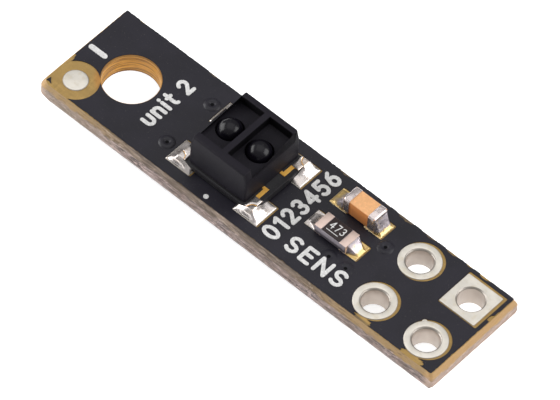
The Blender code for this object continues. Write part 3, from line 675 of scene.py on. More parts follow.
def ring_sheet(low, high, radius, segments, spacing, worn):
    """The wall of a rounded plate with closely spaced points and no faces above or below.

    worn is the rounding of the one corner that is worn more than the others.
    """
    shape = cube(low, high)
    ease(shape, worn, segments, where=lambda at, edge: is_upright(edge) and at.x < 0 and at.y < 0)
    square = math.radians(80)
    ease(shape, radius, segments, where=lambda at, edge: is_upright(edge) and edge.calc_face_angle() > square)
    shape.normal_update()
    caps = [face for face in shape.faces if abs(face.normal.z) > 0.5]
    bmesh.ops.delete(shape, geom=caps, context="FACES_ONLY")
    level = [edge for edge in shape.edges if abs(edge.verts[0].co.z - edge.verts[1].co.z) < LEVEL]
    lengths = sorted({round(edge.calc_length() / spacing) for edge in level})
    for count in lengths:
        same = [edge for edge in level if edge.is_valid and round(edge.calc_length() / spacing) == count]
        if count > 1:
            bmesh.ops.subdivide_edges(shape, edges=same, cuts=count - 1)
    return shape


def capped(shape):
    """Closes the open top and bottom of a wall."""
    for side in (1, -1):
        rim = [edge for edge in shape.edges if edge.is_boundary]
        height = side * max(side * edge.verts[0].co.z for edge in rim)
        ring = [edge for edge in rim if abs(edge.verts[0].co.z - height) < 0.02 * MM]
        bmesh.ops.contextual_create(shape, geom=ring)
    return shape


def laminate_blank(sizes):
    """The undrilled board: a broken web between two slopes left by scoring."""
    score = 0.31 * MM
    inset = Vector((0.17, 0.13, 0)) * MM
    corner, worn_corner = 0.14 * MM, 0.34 * MM
    centre = (TOP + BOTTOM) / 2
    shape = ring_sheet((BOARD_LOW.x, BOARD_LOW.y, BOTTOM + score), (BOARD_HIGH.x, BOARD_HIGH.y, TOP - score),
                       corner, 4, sizes.fibre_step, worn_corner)
    extent = BOARD_HIGH - BOARD_LOW
    shrink = Matrix.Diagonal((1 - 2 * inset.x / extent.x, 1 - 2 * inset.y / extent.y, 1, 1))
    web = [edge for edge in shape.edges if abs(edge.verts[0].co.z - edge.verts[1].co.z) > LEVEL]
    rims = {side: [edge for edge in shape.edges if edge.is_boundary
                   and side * (edge.verts[0].co.z - centre) > 0] for side in (1, -1)}
    bmesh.ops.subdivide_edges(shape, edges=web, cuts=7)
    for side, rim in rims.items():
        grown = verts_of(bmesh.ops.extrude_edge_only(shape, edges=rim)["geom"])
        bmesh.ops.transform(shape, matrix=shrink, verts=grown)
        bmesh.ops.translate(shape, vec=(0, 0, side * score), verts=grown)
    slopes = [edge for edge in shape.edges if abs(edge.verts[0].co.z - edge.verts[1].co.z) > 0.5 * score]
    bmesh.ops.subdivide_edges(shape, edges=slopes, cuts=5)
    bmesh.ops.recalc_face_normals(shape, faces=shape.faces)
    shape.normal_update()
    half_web = (TOP - BOTTOM) / 2 - score
    moves = []
    for vert in shape.verts:
        x, y, z = vert.co / MM
        outward = Vector((vert.normal.x, vert.normal.y, 0)).normalized()
        if outward.dot(Vector((vert.co.x, vert.co.y, 0))) < 0:
            outward.negate()
        reach = abs(vert.co.z - centre)
        fibres = noise.noise((x * 0.9, y * 0.9, z * 13.0)) + 0.5 * noise.noise((x * 5.0, y * 5.0, z * 22.0))
        snags = noise.noise((x * 11.0 + 7.0, y * 11.0, z * 9.0))
        broken = smooth_share((half_web + 0.05 * MM - reach) / (0.07 * MM))
        depth = sizes.fibre_depth * broken * (0.55 * fibres + 0.3 * snags - 0.55)
        depth += 0.007 * MM * (1 - broken) * (noise.noise((x * 3.0, y * 3.0, z * 6.0)) - 0.6)
        moves.append((vert, outward * depth))
    for vert, move in moves:
        vert.co += move
    return capped(shape)


class SENSORBOARD_OT_laminate(bpy.types.Operator):
    """Builds the scored glass-epoxy board with its drilled holes"""

    bl_idname = "sensor_board.laminate"
    bl_label = "Laminate"

    def execute(self, context):
        shape = laminate_blank(context.scene.sensor_board_sizes)
        low, high = BOTTOM - MM, TOP + MM
        header_drill, via_drill = 0.62 * MM, 0.18 * MM
        drills = [cylinder(SCREW_HOLE_DIAMETER / 2, SCREW_HOLE, low, high, FINE_ROUND)]
        drills += [cylinder(header_drill, hole, low, high) for hole in HOLES]
        drills += [cylinder(via_drill, via, low, high, 16) for via in VIAS]
        shape = combine(shape, merged(*drills))
        piece("board_laminate", shape, "laminate", ["circuit_board"], 50)
        return {"FINISHED"}


def mask_sheet(sizes, low, high):
    """A thin plate whose outline wanders as a score line does."""
    corner, spacing, worn_corner = 0.05 * MM, 0.06 * MM, 0.24 * MM
    shape = ring_sheet(low, high, corner, 2, spacing, worn_corner)
    centre = (Vector(low) + Vector(high)) / 2
    for vert in shape.verts:
        x, y = vert.co.x / MM, vert.co.y / MM
        wander = 0.45 * noise.noise((x * 1.3, y * 1.3, 3.0)) + 0.8 * noise.noise((x * 9.0, y * 9.0, 8.0))
        nick = max(0.0, noise.noise((x * 2.7, y * 2.7, 15.0)) - 0.35) * 2.0
        pull = sizes.mask_wander * (max(0.0, wander) + nick)
        from_end = (high[0] - low[0]) / 2 - abs(vert.co.x - centre.x)
        from_side = (high[1] - low[1]) / 2 - abs(vert.co.y - centre.y)
        if from_side < from_end:
            vert.co.y -= math.copysign(pull, vert.co.y - centre.y)
        else:
            vert.co.x -= math.copysign(pull, vert.co.x - centre.x)
    return capped(shape)


def opening(centre, size, low, high, corner=0.06 * MM):
    """A rectangular mask opening with rounded corners."""
    half = Vector((size[0] / 2, size[1] / 2, 0))
    near, far = centre - half, centre + half
    return ease(cube((near.x, near.y, low), (far.x, far.y, high)), corner, 3,
                where=lambda at, edge: is_upright(edge))


def torn_patch(centre, size, low, high, seed):
    """A ragged patch where the mask has flaked off."""
    shape = cylinder(0.5, centre, low, high, 28)
    for vert in shape.verts:
        x, y = vert.co.x - centre[0], vert.co.y - centre[1]
        ragged = 1 + 0.35 * noise.noise((x * 5.0, y * 5.0, seed))
        vert.co.x = centre[0] + x * size[0] * ragged
        vert.co.y = centre[1] + y * size[1] * ragged
    return shape


def open_parts_of_land_4():
    """The slit, the patch and the part under the module that the mask leaves open of that land."""
    low, high = box("sensor_land_4")
    side = box("sensor_base")[0].x
    margin = 0.02 * MM
    return (((low.x - margin, low.y - margin), (low.x + LAND_4_SLIT, high.y + margin)),
            ((low.x - margin, high.y - LAND_4_PATCH), (side + LAND_4_SLIT, high.y + margin)),
            ((side + 0.03 * MM, low.y - margin), (high.x + margin, high.y + margin)))


def painted_dark_part_of_land_4():
    """The part of that land that the mask covers as a painted dark reflection, with the clearance of the two.
    """
    slit, patch, covered = open_parts_of_land_4()
    low, high = box("sensor_land_4")
    clearance = 0.006 * MM
    return cube((slit[1][0] - clearance, low.y - MM, low.z - MM),
                (covered[0][0] + clearance, patch[0][1] + clearance, high.z + MM))


# Where the mask has flaked at the board's edges, in millimetres: x, y, length, width, and a seed.
FLAKES = ((6.35, -2.26, 0.80, 0.26, 1.0), (8.70, -2.26, 0.90, 0.30, 2.0),
          *((x, 2.38, length, width, x) for x, length, width in (
              (1.40, 0.56, 0.22), (3.55, 0.30, 0.16), (4.50, 0.80, 0.26), (5.72, 0.50, 0.24),
              (6.75, 0.70, 0.20), (7.60, 0.30, 0.16), (8.40, 0.60, 0.22), (-5.30, 0.50, 0.16))),
          (9.16, -2.27, 0.36, 0.24, 3.0), (9.76, 1.08, 0.16, 0.34, 5.0), (-9.78, -0.90, 0.20, 0.62, 6.0),
          (-9.83, -1.98, 0.24, 0.70, 7.0), (-9.60, -2.33, 0.80, 0.22, 8.0))


class SENSORBOARD_OT_mask(bpy.types.Operator):
    """Builds the black mask on both faces, with openings, torn edges and tented vias"""

    bl_idname = "sensor_board.mask"
    bl_label = "Solder Mask"

    def execute(self, context):
        sizes = context.scene.sensor_board_sizes
        for name, seat, crown, side in (("mask_top", TOP + GAP, MASK_TOP, 1),
                                        ("mask_bottom", MASK_BOTTOM, BOTTOM - GAP, -1)):
            sheet = mask_sheet(sizes, (-9.81 * MM, -2.350 * MM, seat), (9.81 * MM, 2.365 * MM, crown))
            cuts = self.openings(seat - 0.1 * MM, crown + 0.1 * MM, side)
            sheet = combine(sheet, merged(*cuts), crossing=True)
            node = "solder_mask_top" if side > 0 else "solder_mask_bottom"
            piece(name, sheet, "mask", [node], 40)
            level = crown if side > 0 else seat
            for number, via in enumerate(VIAS, 1):
                under_caption = side > 0 and 1.9 * MM < via.x < 5.2 * MM and via.y < -0.7 * MM
                share = 0.38 if under_caption else 1.0
                self.tent(sizes, f"{name}_tent_{number}", via, level, side, share)
        dress("copper", *[f"via_{number}" for number in range(1, 6)])
        return {"FINISHED"}

    def openings(self, low, high, side):
        """Everything that one mask leaves open: holes, pads, lands and torn patches."""
        round_opening, square_opening = 0.915 * MM, 1.86 * MM
        shift = MASK_SHIFT * side
        cuts = [cylinder(SCREW_HOLE_DIAMETER / 2 + 0.03 * MM, SCREW_HOLE, low, high, FINE_ROUND)]
        cuts += [cylinder(round_opening, hole + shift, low, high) for hole in HOLES[:3]]
        cuts.append(opening(HOLES[3] + shift, (square_opening, square_opening), low, high))
        upper, lower = ("sensor", "capacitor", "output_resistor"), ("emitter_switch", "series_resistor")
        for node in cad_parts:
            if node == "sensor_land_4":     # opened on both faces
                cuts += [cube((*near, low), (*far, high)) for near, far in open_parts_of_land_4()]
            elif "_land_" in node and node.startswith(upper if side > 0 else lower):
                corner, far = box(node)
                grown = far - corner + Vector((0.05, 0.05, 0)) * MM
                cuts.append(opening((corner + far) / 2 + shift * 0.6, grown, low, high))
        if side > 0:
            fiducial_opening, nub_opening, nub = 0.94 * MM, 0.14 * MM, Vector((8.10, -0.74, 0)) * MM
            cuts.append(cylinder(fiducial_opening, middle("fiducial_dot"), low, high))
            cuts.append(cylinder(nub_opening, nub, low, high, 24))
            for x, y, length, width, seed in FLAKES:
                cuts.append(torn_patch(Vector((x, y, 0)) * MM, (length * MM, width * MM), low, high, seed))
        return cuts

    def tent(self, sizes, name, via, level, side, share):
        """Mask bulging over a via's ring, sunk where it spans the bore, with a near-black disc in the sunk
        middle as painted shade.
        """
        radius, height = sizes.tent_radius, share * sizes.tent_height
        rises = ((0.0, 0.10), (0.18, 0.12), (0.33, 0.55), (0.44, 0.90), (0.57, 1.0), (0.72, 0.86),
                 (0.88, 0.40), (1.0, -0.10))
        profile = [(out * radius, level + side * height * rise) for out, rise in rises]
        profile += [(0.0, level - side * 0.1 * height)]
        piece(name, lathe(profile, via, SMALL_ROUND), "mask", smooth=60)
        # painted shade: a near-black disc lies in the tent's sunk middle
        pit = 0.33 * radius
        sunk = [(0.0, level + side * 0.16 * height), (0.7 * pit, level + side * 0.20 * height),
                (pit, level + side * 0.14 * height), (pit, level), (0.0, level)]
        piece(name.replace("tent", "painted_pit_shade"), lathe(sunk, via, SMALL_ROUND), "painted_pit_shade", smooth=60)


# ---------------------------------------------------------------- pads

class SENSORBOARD_OT_eyelets(bpy.types.Operator):
    """Builds the four plated header holes with their levelled tin"""

    bl_idname = "sensor_board.eyelets"
    bl_label = "Plated Holes"

    def execute(self, context):
        bore, drill, pad = 0.53 * MM, 0.617 * MM, 0.86 * MM
        low, high = box("plated_hole_1")[0].z, box("plated_hole_1")[1].z
        lip = 0.035 * MM
        flare = [(bore + 0.045 * MM, high - 0.4 * lip), (bore + 0.012 * MM, high - 1.3 * lip),
                 (bore, high - 2.0 * lip)]
        upper = [(pad, TOP + GAP), (pad - 0.004 * MM, high - 0.016 * MM),
                 (pad - 0.018 * MM, high - 0.004 * MM), (pad - 0.05 * MM, high),
                 (bore + 0.14 * MM, high + 0.003 * MM), (bore + 0.07 * MM, high), *flare]
        flip = TOP + BOTTOM
        lower = [(radius, flip - height) for radius, height in reversed(upper)]
        profile = upper + lower + [(drill, BOTTOM - GAP), (drill, TOP + GAP)]
        for number in (1, 2, 3):
            shape = lathe(profile, HOLES[number - 1], ROUND, closed=True)
            piece(f"header_eyelet_{number}", shape, "tin", [f"plated_hole_{number}"], 50)
        nub = cylinder(0.11 * MM, Vector((8.09, -0.74, 0)) * MM, TOP + GAP, high - 0.004 * MM, SMALL_ROUND)
        piece("trace_nub", ease(nub, 0.012 * MM, 2, 60), "tin", smooth=50)

        centre = HOLES[3]
        plates = [opening(centre, (2 * pad, 2 * pad), seat, crown, 0.05 * MM)
                  for seat, crown in ((TOP + GAP, high), (low, BOTTOM - GAP))]
        shape = combine(merged(*plates), cylinder(drill, centre, low + 0.01 * MM, high - 0.01 * MM), "UNION")
        mouth = [*reversed(flare), (bore + 0.075 * MM, high + 0.2 * lip), (0, high + 0.2 * lip)]
        tool = [(radius, flip - height) for radius, height in reversed(mouth)] + mouth
        shape = combine(shape, lathe(tool, centre))
        faces = (high, low)
        ease(shape, 0.02 * MM, 3, 60, lambda at, edge: min(abs(at.z - face) for face in faces) < NEAR
             and (at.xy - centre.xy).length > drill)
        piece("header_eyelet_4", shape, "tin", ["plated_hole_4"], 12)
        return {"FINISHED"}


CHIP_LAND_FINISHES = {"capacitor_land_1": "pale", "capacitor_land_2": "pale", "output_resistor_land_1": "tin",
                      "output_resistor_land_2": "gilt"}


class SENSORBOARD_OT_lands(bpy.types.Operator):
    """Builds the fiducial dot and finishes the tinned lands"""

    bl_idname = "sensor_board.lands"
    bl_label = "Fiducial and Lands"

    def execute(self, context):
        low, high = box("fiducial_dot")
        centre, radius = (low + high) / 2, (high.x - low.x) / 2
        profile = [(0, high.z + 0.004 * MM), (0.5 * radius, high.z + 0.003 * MM), (0.84 * radius, high.z),
                   (0.95 * radius, high.z - 0.008 * MM), (radius, high.z - 0.02 * MM), (radius, low.z),
                   (0, low.z)]
        piece("fiducial_target", lathe(profile, centre), "tin", ["fiducial_dot"], 50)
        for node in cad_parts:
            if "_land_" in node:
                stand_in = copy_of(node, 0.010 * MM, 2, 60)
                # land 4 loses the part that the mask covers as a painted dark reflection
                if node == "sensor_land_4":
                    stand_in = combine(stand_in, painted_dark_part_of_land_4())
                finish = CHIP_LAND_FINISHES.get(node, "tin")
                piece(node.replace("_land_", "_tinned_land_"), stand_in, finish, [node], 40)
        return {"FINISHED"}


# ---------------------------------------------------------------- sensor module

class SENSORBOARD_OT_module_base(bpy.types.Operator):
    """Builds the module's base with its castellations, contacts and solder"""

    bl_idname = "sensor_board.module_base"
    bl_label = "Module Base"

    def execute(self, context):
        low, high = box("sensor_base")
        shape = cube(low, high)
        corners = [Vector((low.x if x < 0 else high.x, low.y if y < 0 else high.y, 0)) for x, y in CORNERS]
        notches = [cylinder(CASTELLATION, corner, low.z - MM, high.z + MM, 48) for corner in corners]
        shape = combine(shape, merged(*notches))
        ease(shape, 0.012 * MM, 2, 60, lambda at, edge: min(abs(at.z - high.z), abs(at.z - low.z)) < NEAR)
        piece("module_base", shape, "base", ["sensor_base"])
        dress("gold", *[f"sensor_contact_{number}" for number in range(1, 5)])
        for number, ((x, y), corner) in enumerate(zip(CORNERS, corners), 1):
            self.solder(number, x, y, corner, high.z - LAND_TOP)
            self.wetting(number, x, y, corner)
        return {"FINISHED"}

    def wetting(self, number, x, y, corner):
        """Solder drawn over the contact round the castellation."""
        reach = Vector((0.365, 0.60, 0)) * MM
        radius = 0.290 * MM
        crown = box(f"sensor_contact_{number}")[1].z
        far = corner - Vector((x * reach.x, y * reach.y, 0))
        low = Vector((min(corner.x, far.x), min(corner.y, far.y), 0))
        high = Vector((max(corner.x, far.x), max(corner.y, far.y), 0))

        def kept(at):
            return (Vector((at.x, at.y)) - corner.xy).length > radius

        def rise(px, py):
            edge = min(px - low.x, high.x - px, py - low.y, high.y - py)
            rim = math.hypot(px - corner.x, py - corner.y) - radius
            return 0.030 * MM * math.sqrt(min(max(min(edge, rim) / (0.07 * MM), 0.0), 1.0))

        shape = pool(low, high, crown + GAP, rise, 0.018 * MM, kept)
        piece(f"contact_wetting_{number}", shape, "solder", smooth=70)

    def solder(self, number, x, y, corner, notch_height):
        """Solder wetted over the open part of a land and climbing into the castellation."""
        low, high = box(f"sensor_land_{number}")
        margin = 0.02 * MM
        clear = 0.014 * MM
        climb = 0.92 * notch_height

        def kept(at):
            beyond_x = x * (at.x - corner.x) > clear
            beyond_y = y * (at.y - corner.y) > clear
            notch = (Vector((at.x, at.y)) - corner.xy).length < CASTELLATION - 0.035 * MM - GAP
            above_patch = at.y < high.y - (LAND_4_PATCH - 0.02 * MM)
            # painted dark reflection: no solder where the mask covers land 4
            if number == 4 and above_patch and at.x > low.x + LAND_4_SLIT - 0.007 * MM:
                return False
            return beyond_x or beyond_y or notch

        def rise(px, py):
            edge = min(px - low.x, high.x - px, py - low.y, high.y - py) - margin
            film = 0.050 * MM * math.sqrt(min(max(edge / (0.16 * MM), 0.0), 1.0))
            away_x, away_y = x * (px - corner.x), y * (py - corner.y)
            from_wall = math.hypot(max(away_x, 0.0), max(away_y, 0.0))
            near = max(0.0, 1 - from_wall / (0.42 * MM))
            along = max(math.hypot(away_x, away_y) - 0.20 * MM, 0.0)
            corner_pull = math.exp(-(along / (0.34 * MM)) ** 2)
            wetted = 0.25 * near ** 2 + 0.75 * near ** 1.6 * corner_pull
            return film + climb * wetted * smooth_share(edge / (0.10 * MM))

        inset = Vector((margin, margin, 0))
        shape = pool(low + inset, high - inset, LAND_TOP + GAP, rise, 0.025 * MM, kept)
        piece(f"module_solder_{number}", shape, "solder", [f"sensor_solder_{number}"], 70)


class SENSORBOARD_OT_shroud(bpy.types.Operator):
    """Builds the moulded shroud with its two open chambers"""

    bl_idname = "sensor_board.shroud"
    bl_label = "Shroud"

    def execute(self, context):
        sizes = context.scene.sensor_board_sizes
        low, high = box("sensor_housing")
        centre = (low + high) / 2
        half_depth, front_wall, back_wall, rib = 1.50 * MM, 0.36 * MM, 0.26 * MM, 0.13 * MM
        foot = low.z + 0.2 * MM
        shape = self.tapered_block(low, high, centre, foot)
        soft = half_depth - 0.05 * MM

        def above_foot(at):
            return at.z > low.z + 0.01 * MM

        ease(shape, sizes.shroud_edge, 5, 60, lambda at, edge: above_foot(at) and at.y < centre.y - soft)
        ease(shape, 0.045 * MM, 3, 60, lambda at, edge: above_foot(at) and at.y > centre.y + soft)
        hollows, pockets, wells = [], [], []
        for side in (-1, 1):
            near, far = sorted((centre.x + side * rib, centre.x + side * 3 * MM))
            hollows.append(cube((near, centre.y - half_depth + front_wall, CHAMBER_FLOOR),
                                (far, centre.y + half_depth - back_wall, high.z + MM)))
            near, far = sorted((centre.x + side * rib, centre.x + side * 1.32 * MM))
            pockets.append(cube((near, centre.y - 1.30 * MM, low.z - 0.2 * MM),
                                (far, centre.y + 1.30 * MM, CHAMBER_ROOF)))
            wells.append(self.well(centre + Vector((side * 0.745 * MM, 0, 0))))
        shape = combine(shape, merged(*hollows))
        ease(shape, sizes.chamber_edge, 2, 35, lambda at, edge: at.z > CHAMBER_FLOOR - 0.02 * MM)
        shape = combine(shape, merged(*pockets))
        shape = combine(shape, merged(*wells))
        piece("sensor_shroud", shape, "plastic", ["sensor_housing"], 35)
        return {"FINISHED"}

    def tapered_block(self, low, high, centre, foot):
        """The outside of the shroud: a straight foot, then sides that draw in twice."""
        shape = cube(low, (high.x, high.y, foot))
        to_middle = Matrix.Translation((-centre.x, -centre.y, 0))
        size, level = high - low, foot
        last = Vector((size.x, size.y))
        steps = ((Vector((2.82, 3.00)) * MM, CHAMBER_FLOOR), (Vector((2.60, 3.00)) * MM, high.z))
        for footprint, height in steps:
            face = max(shape.faces, key=lambda item: item.calc_center_median().z)
            grown = verts_of(bmesh.ops.extrude_face_region(shape, geom=[face])["geom"])
            bmesh.ops.translate(shape, vec=(0, 0, height - level), verts=grown)
            ratio = Matrix.Diagonal((footprint.x / last.x, footprint.y / last.y, 1, 1))
            bmesh.ops.transform(shape, matrix=ratio, space=to_middle, verts=grown)
            bmesh.ops.delete(shape, geom=[face] if face.is_valid else [], context="FACES_ONLY")
            last, level = footprint, height
        return shape

    def well(self, spot):
        """The round hole that a dome looks out of, with a small chamfer at its mouth."""
        radius, mouth, past = 0.56 * MM, 0.57 * MM, 0.1 * MM
        return lathe([(0, CHAMBER_ROOF - past), (radius, CHAMBER_ROOF - past),
                      (radius, CHAMBER_FLOOR - 0.015 * MM), (mouth, CHAMBER_FLOOR),
                      (mouth, CHAMBER_FLOOR + past), (0, CHAMBER_FLOOR + past)], spot)


class SENSORBOARD_OT_domes(bpy.types.Operator):
    """Builds the two moulded domes and finishes the chips and wires inside them"""

    bl_idname = "sensor_board.domes"
    bl_label = "Domes"

    def execute(self, context):
        radius = 0.51 * MM
        for name in ("emitter", "detector"):
            low, high = box(f"{name}_lens")
            spot = (low + high) / 2
            centre = high.z - radius
            roof = CHAMBER_ROOF - 0.06 * MM
            skirt = radius + 0.03 * MM
            arc = [math.radians(90 - 5 * step) for step in range(19)]
            profile = [(radius * math.cos(turn), centre + radius * math.sin(turn)) for turn in arc]
            profile[0] = (0.0, profile[0][1])
            profile += [(radius + 0.012 * MM, centre - 0.012 * MM), (skirt, centre - 0.03 * MM),
                        (skirt, roof - 0.1 * MM), (0.0, roof - 0.1 * MM)]
            shape = lathe(profile, spot)
            half_x, half_y = 0.49 * MM, 1.20 * MM
            block = cube((spot.x - half_x, spot.y - half_y, low.z), (spot.x + half_x, spot.y + half_y, roof))
            shape = combine(shape, block, "UNION")
            recess = cube((spot.x - 0.25 * MM, spot.y - 0.28 * MM, low.z - MM),
                          (spot.x + 0.25 * MM, spot.y + 0.56 * MM, low.z + 0.21 * MM))
            shape = combine(shape, recess)
            piece(f"{name}_dome", shape, "epoxy", [f"{name}_lens"], 40)
            dress("silicon", f"{name}_chip")
            dress("gold", f"{name}_bond_wire")
        return {"FINISHED"}


# ---------------------------------------------------------------- chip parts

def end_cap(low, high, side, edge, wall, seed):
    """A terminal dipped over one end of a chip, with an uneven inner rim."""
    wave = 0.012 * MM
    reach = (high.x - low.x) * 2
    near = low.x if side > 0 else high.x
    far = high.x if side > 0 else low.x
    left, right = sorted((near - side * reach, far))
    shape = rounded_box((left, low.y, low.z), (right, high.y, high.z), edge, 4)
    whole = shape.verts[:] + shape.edges[:] + shape.faces[:]
    bmesh.ops.bisect_plane(shape, geom=whole, plane_co=(near, 0, 0), plane_no=(-side, 0, 0), clear_outer=True)
    rim = [item for item in shape.edges if item.is_boundary]
    long_rim = [item for item in rim if item.calc_length() > 0.15 * MM]
    bmesh.ops.subdivide_edges(shape, edges=long_rim, cuts=9)
    for vert in shape.verts:
        if vert.is_boundary:
            vert.co.x += side * wave * noise.noise((vert.co.y / MM * 4 + seed, vert.co.z / MM * 4, seed))
    bmesh.ops.recalc_face_normals(shape, faces=shape.faces)
    shape.normal_update()
    bmesh.ops.solidify(shape, geom=shape.faces[:], thickness=wall)
    return shape


def end_fillets(part, rises, narrowing, side=1, along=0):
    """Concave solder between a chip's end faces and the outer edges of its lands.

    rises gives both heights and narrowing the taper of each side, in millimetres. side is up or down,
    and along the axis that the part lies on.
    """
    other = 1 - along
    for number, sign in ((1, -1), (2, 1)):
        cap_low, cap_high = box(f"{part}_terminal_{number}")
        low, high = box(f"{part}_land_{number}")
        face = cap_high[along] if sign > 0 else cap_low[along]
        edge = (high[along] if sign > 0 else low[along]) - sign * 0.015 * MM
        start = face + sign * GAP
        run = abs(edge - start)
        rise_to = rises[number - 1] * MM
        near, far = sorted((start, edge))
        corner_low, corner_high = Vector((0, 0, 0)), Vector((0, 0, 0))
        corner_low[along], corner_high[along] = near, far
        corner_low[other] = low[other] + 0.015 * MM
        corner_high[other] = high[other] - 0.015 * MM
        body_low, body_high = cap_low[other], cap_high[other]

        def rise(px, py, start=start, run=run, rise_to=rise_to, body_low=body_low, body_high=body_high,
                 corner_low=corner_low, corner_high=corner_high):
            at = (px, py)
            share = min(abs(at[along] - start) / run, 1.0)
            outside = max(body_low - at[other], at[other] - body_high, 0.0)
            from_side = min(at[other] - corner_low[other], corner_high[other] - at[other])
            from_side -= narrowing * share * MM
            lip = math.sqrt(min(max(from_side / (0.09 * MM), 0.0), 1.0))
            slope = (1 - share) ** 1.9 * 0.9 + 0.1 * (1 - share)
            film = 0.030 * MM * math.sqrt(min(max((1 - share) * run / (0.08 * MM), 0.0), 1.0))
            beside = max(1 - outside / (0.10 * MM), 0.0)
            return (film + rise_to * slope * beside) * lip

        seat = LAND_TOP + GAP if side > 0 else LAND_BOTTOM - GAP
        yield number, pool(corner_low, corner_high, seat, rise, 0.016 * MM, side=side)


class SENSORBOARD_OT_capacitor(bpy.types.Operator):
    """Builds the ceramic capacitor with its dipped ends and solder"""

    bl_idname = "sensor_board.capacitor"
    bl_label = "Capacitor"

    def execute(self, context):
        edge = context.scene.sensor_board_sizes.part_edge
        low, high = box("capacitor_body")
        piece("capacitor_ceramic", rounded_box(low, high, edge, 3), "ceramic", ["capacitor_body"], 50)
        for number, side in ((1, -1), (2, 1)):
            low, high = box(f"capacitor_terminal_{number}")
            cap = end_cap(low, high, side, 0.105 * MM, 0.020 * MM, 3.0 + number)
            piece(f"capacitor_end_{number}", cap, "terminal", [f"capacitor_terminal_{number}"], 50)
        for number, shape in end_fillets("capacitor", (0.34, 0.60), 0.06):
            piece(f"capacitor_fillet_{number}", shape, "flux", [f"capacitor_solder_{number}"], 70)
        return {"FINISHED"}


def resistor_pieces(name):
    """Ceramic plate and wrapped terminals of a thick-film resistor; returns the plate's corners."""
    low, high = box(f"{name}_substrate")
    piece(f"{name}_ceramic", rounded_box(low, high, 0.018 * MM, 2), "alumina", [f"{name}_substrate"], 50)
    for number in (1, 2):
        shape = copy_of(f"{name}_terminal_{number}", 0.012 * MM, 3, 60)
        piece(f"{name}_strap_{number}", shape, "strap", [f"{name}_terminal_{number}"], 50)
    return low, high


class SENSORBOARD_OT_resistor(bpy.types.Operator):
    """Builds the output resistor with its black coat, value code and solder"""

    bl_idname = "sensor_board.resistor"
    bl_label = "Output Resistor"

    def execute(self, context):
        sizes = context.scene.sensor_board_sizes
        resistor_pieces("output_resistor")
        low, high = box("output_resistor_overcoat")
        coat = rounded_box(low, high, 0.010 * MM, 2, uprights=0.03 * MM)
        piece("output_resistor_coat", coat, "coat", ["output_resistor_overcoat"], 50)
        centre = (low + high) / 2
        seat, thick = high.z + GAP, 0.006 * MM
        code = lettering("473", (centre.x - 0.34 * MM, centre.y - 0.13 * MM), (1, 0), (0, 1), 0.70 * MM,
                         0.36 * MM, sizes.code_stroke, seat, thick)
        level = centre.y - 0.235 * MM
        line = strokes([[(centre.x - 0.33 * MM, level), (centre.x + 0.22 * MM, level)]],
                       0.7 * sizes.code_stroke, seat, thick)
        piece("output_resistor_code", merged(code, line), "ink")
        for number, shape in end_fillets("output_resistor", (0.22, 0.38), 0.20):
            finish = "solder" if number == 1 else "flux"
            piece(f"output_resistor_fillet_{number}", shape, finish, [f"output_resistor_solder_{number}"], 70)
        return {"FINISHED"}


class SENSORBOARD_OT_underside(bpy.types.Operator):
    """Builds the emitter switch and its series resistor under the board"""

    bl_idname = "sensor_board.underside"
    bl_label = "Underside Parts"

    def execute(self, context):
        piece("switch_body", copy_of("emitter_switch_body"), "resin", ["emitter_switch_body"], 35)
        for number in (1, 2, 3):
            lead = copy_of(f"emitter_switch_lead_{number}", 0.035 * MM, 3, 60)
            piece(f"switch_lead_{number}", lead, "terminal", [f"emitter_switch_lead_{number}"], 50)
            self.foot_solder(number)
        low, high = resistor_pieces("series_resistor")
        straps = [box(f"series_resistor_terminal_{number}") for number in (1, 2)]
        margin = 0.02 * MM
        coat_low = Vector((low.x + margin, straps[0][1].y + margin, low.z - GAP - 0.022 * MM))
        coat_high = Vector((high.x - margin, straps[1][0].y - margin, low.z - GAP))
        coat = rounded_box(coat_low, coat_high, 0.008 * MM, 2, uprights=0.03 * MM)
        piece("series_resistor_coat", coat, "coat")
        for number, shape in end_fillets("series_resistor", (0.26, 0.26), 0.0, -1, 1):
            piece(f"series_resistor_fillet_{number}", shape, "solder", smooth=70)
        return {"FINISHED"}

    def foot_solder(self, number):
        """Solder round the foot of one gull-wing lead."""
        low, high = box(f"emitter_switch_land_{number}")
        foot_low, foot_high = box(f"emitter_switch_lead_{number}")

        def kept(at):
            inside_x = foot_low.x - GAP < at.x < foot_high.x + GAP
            inside_y = foot_low.y - GAP < at.y < foot_high.y + GAP
            return not (inside_x and inside_y)

        def rise(px, py):
            beside = max(foot_low.x - px, px - foot_high.x, 0)
            away = math.hypot(beside, max(foot_low.y - py, py - foot_high.y, 0))
            edge = min(px - low.x, high.x - px, py - low.y, high.y - py)
            lip = math.sqrt(min(max(edge / (0.06 * MM), 0.0), 1.0))
            return (0.02 * MM + 0.075 * MM * max(0.0, 1 - away / (0.13 * MM)) ** 1.6) * lip

        margin = Vector((0.01, 0.01, 0)) * MM
        shape = pool(low + margin, high - margin, LAND_BOTTOM - GAP, rise, 0.02 * MM, kept, -1)
        piece(f"switch_foot_solder_{number}", shape, "solder", smooth=70)


# ---------------------------------------------------------------- legend

def bow(x, y, wide, tall, start, end, steps):
    """Points along part of an ellipse, with angles in degrees."""
    turns = [math.radians(start + (end - start) * step / steps) for step in range(steps + 1)]
    return [(x + wide * math.cos(turn), y + tall * math.sin(turn)) for turn in turns]


